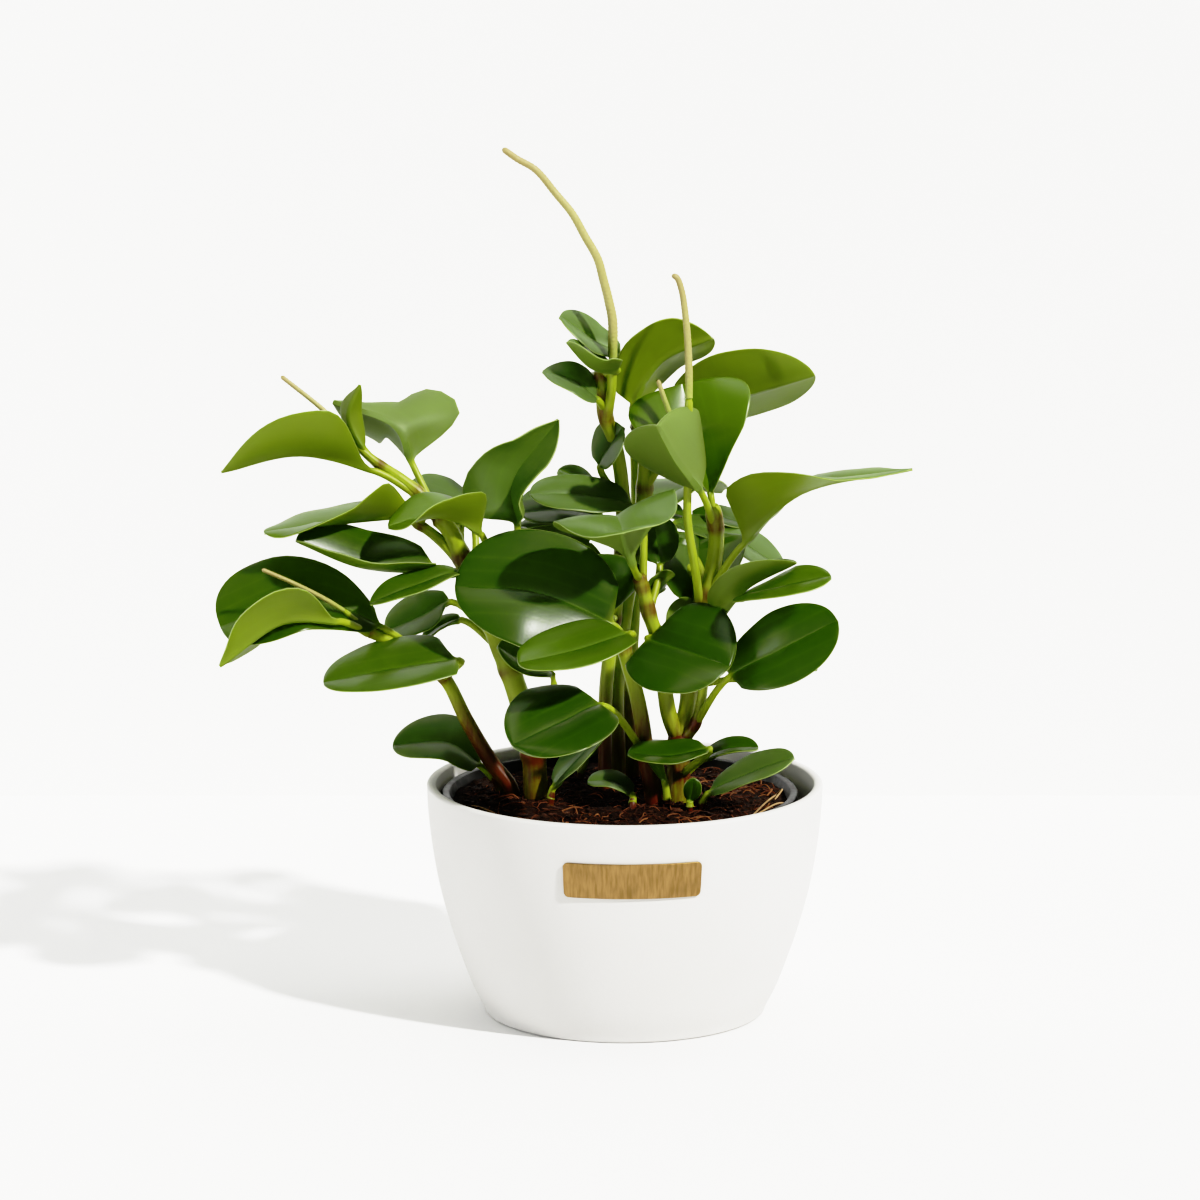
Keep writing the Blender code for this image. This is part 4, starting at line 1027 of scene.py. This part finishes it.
def plateShape():
    build = plateBuild
    shape = Shape()
    halfWide = build["width"] / 2
    halfHigh = (build["high"] - build["low"]) / 2
    middleZ = (build["high"] + build["low"]) / 2
    outlinePoints = []
    for cx, cz, first in ((1, 1, 0), (-1, 1, 90), (-1, -1, 180), (1, -1, 270)):
        for a in range(0, 91, 15):
            angle = radians(first + a)
            outlinePoints.append((cx * (halfWide - build["corner"]) + build["corner"] * cos(angle),
                                  cz * (halfHigh - build["corner"]) + build["corner"] * sin(angle)))
    # long sides get extra points so that the plate bends
    dense = []
    for (x0, z0), (x1, z1) in zip(outlinePoints, outlinePoints[1:] + outlinePoints[:1]):
        parts = max(1, int(math.hypot(x1 - x0, z1 - z0) / 1.0))
        dense += [(x0 + (x1 - x0) * n / parts, z0 + (z1 - z0) * n / parts) for n in range(parts)]

    def bent(x, z, depth):
        radius = potRadius(middleZ + z) + depth
        angle = (build["centreX"] + x) / potRadius(build["low"]) - pi / 2
        return Vector((radius * cos(angle), radius * sin(angle), middleZ + z))

    rings = []
    steps = [(0, build["gap"]), (0, build["gap"] + build["thick"] - build["edge"])]
    steps += [(build["edge"] * (1 - cos(radians(a))),
               build["gap"] + build["thick"] - build["edge"] * (1 - sin(radians(a))))
              for a in (30, 60, 90)]
    steps += [(build["edge"] + 0.8, build["gap"] + build["thick"])]
    for inset, depth in steps:
        ring = []
        for x, z in dense:
            shrinkX = (halfWide - inset) / halfWide
            shrinkZ = (halfHigh - inset) / halfHigh
            ring.append(bent(x * shrinkX, z * shrinkZ, depth))
        rings.append(ring)
    blank = [[(0, 0, 0, 0)] * len(dense) for ring in rings]
    shape.rings(rings, blank, blank, closed=False)
    start = len(shape.points)
    inset = build["edge"] + 0.8
    # front and back: rows of quads between the left and right outline are kept simple by a fan
    for ring, outward in ((0, False), (len(rings) - 1, True)):
        first = ring * len(dense)
        order = sorted(range(len(dense)), key=lambda k: dense[k][0])
        upper = [k for k in order if dense[k][1] > 0]
        lower = [k for k in order if dense[k][1] <= 0]
        a, b = 0, 0
        while a < len(upper) - 1 or b < len(lower) - 1:
            nextUp = dense[upper[a + 1]][0] if a < len(upper) - 1 else 1e9
            nextLow = dense[lower[b + 1]][0] if b < len(lower) - 1 else 1e9
            if nextUp <= nextLow:
                shape.faces.append((first + upper[a], first + upper[a + 1], first + lower[b]))
                a += 1
            else:
                shape.faces.append((first + upper[a], first + lower[b + 1], first + lower[b]))
                b += 1
    return shape


def brassFinish():
    finish = Finish("brushedBrass", Metallic=1.0, Roughness=0.42)
    brush = finish.grain(0.0011, 4, (1, 1, 0.035))
    patina = finish.grain(0.012, 4)
    colour = finish.mix(brush.within(0.3, 0.7), (0.20, 0.130, 0.050), (0.30, 0.205, 0.090))
    finish.colour(finish.mix(patina.within(0.5, 0.85) * 0.35, colour, (0.12, 0.075, 0.03)))
    finish.roughness(brush * 0.25 + patina * 0.1 + 0.3)
    finish.relief(brush, 0.00004)
    return finish


plateShape().piece("brass_plate_fine", brassFinish(), "brushed_brass", "brass_plate")
print("plate made")

# floor, wall, lights and camera
roomBuild = {
    "wallY": 0.38, "wide": 6.0, "deep": 6.0,
    "floorColour": (0.84, 0.84, 0.83), "wallColour": (0.82, 0.82, 0.81),
    "sky": (0.97, 0.98, 1.0), "skyStrength": 0.22,
}


def roomFace(name, points, colour):
    mesh = bpy.data.meshes.new(name)
    mesh.from_pydata(points, [], [(0, 1, 2, 3)])
    finish = Finish(name + "Paint", Roughness=0.8, Specular_IOR_Level=0.1)
    wide = finish.grain(0.8, 2)
    finish.colour(finish.mix(wide * 0.2, colour, tuple(part * 0.97 for part in colour)))
    mesh.materials.append(finish.material)
    item = bpy.data.objects.new(name, mesh)
    scene.collection.objects.link(item)


wide, deep, back = roomBuild["wide"], roomBuild["deep"], roomBuild["wallY"]
roomFace("floor", [(-wide, -deep, 0), (wide, -deep, 0), (wide, back, 0), (-wide, back, 0)],
         roomBuild["floorColour"])
roomFace("wall", [(-wide, back, 0), (wide, back, 0), (wide, back, wide), (-wide, back, wide)],
         roomBuild["wallColour"])

lights = {      # kind, place, point it looks at, size, strength, colour
    "keyLight": ("SUN", (0.9, -0.8, 1.0), (0, 0, 0), 0.05, 5.6, (1.0, 0.985, 0.95)),
    "fillLight": ("AREA", (-1.8, -1.3, 0.3), (0, 0, 0.05), 0.9, 22.0, (0.97, 0.985, 1.0)),
    "topLight": ("AREA", (0.1, 0.0, 1.8), (0, 0, 0), 1.2, 9.0, (1.0, 1.0, 1.0)),
}
for name, (kind, place, target, size, strength, colour) in lights.items():
    data = bpy.data.lights.new(name, kind)
    if kind == "SUN":
        data.angle = size
    else:
        data.shape = "DISK"
        data.size = size
    data.energy = strength
    data.color = colour
    lamp = bpy.data.objects.new(name, data)
    lamp.location = place
    lamp.rotation_euler = (Vector(target) - Vector(place)).to_track_quat("-Z", "Y").to_euler()
    scene.collection.objects.link(lamp)

world = bpy.data.worlds.new("softRoom")
world.use_nodes = True
world.node_tree.nodes["Background"].inputs["Color"].default_value = (*roomBuild["sky"], 1)
world.node_tree.nodes["Background"].inputs["Strength"].default_value = roomBuild["skyStrength"]
scene.world = world

cameraBuild = {"place": (-0.010, -2.5977, 0.6928), "down": 11.4, "lens": 197.8, "film": 36.0}
cameraData = bpy.data.cameras.new("photoCamera")
cameraData.lens = cameraBuild["lens"]
cameraData.sensor_width = cameraBuild["film"]
cameraData.sensor_fit = "HORIZONTAL"
camera = bpy.data.objects.new("photoCamera", cameraData)
camera.location = cameraBuild["place"]
camera.rotation_euler = (radians(90 - cameraBuild["down"]), 0, 0)
scene.collection.objects.link(camera)
scene.camera = camera

# bright tones roll off softly, as in the photograph
toneBuild = {"brightest": 2.4, "curve": ((0.0, 0.0), (0.03, 0.006), (0.1, 0.07), (0.25, 0.24),
                                                (0.6, 0.62), (1.0, 0.83), (1.5, 0.915), (2.4, 0.975))}
tone = scene.view_settings
tone.view_transform = "Standard"
tone.use_curve_mapping = True
tone.curve_mapping.white_level = (toneBuild["brightest"],) * 3
tone.curve_mapping.extend = "HORIZONTAL"
curve = tone.curve_mapping.curves[3]
for given, shown in toneBuild["curve"][1:-1]:
    curve.points.new(given / toneBuild["brightest"], shown)
curve.points[-1].location = (1.0, toneBuild["curve"][-1][1])
tone.curve_mapping.update()

bpy.context.view_layer.update()
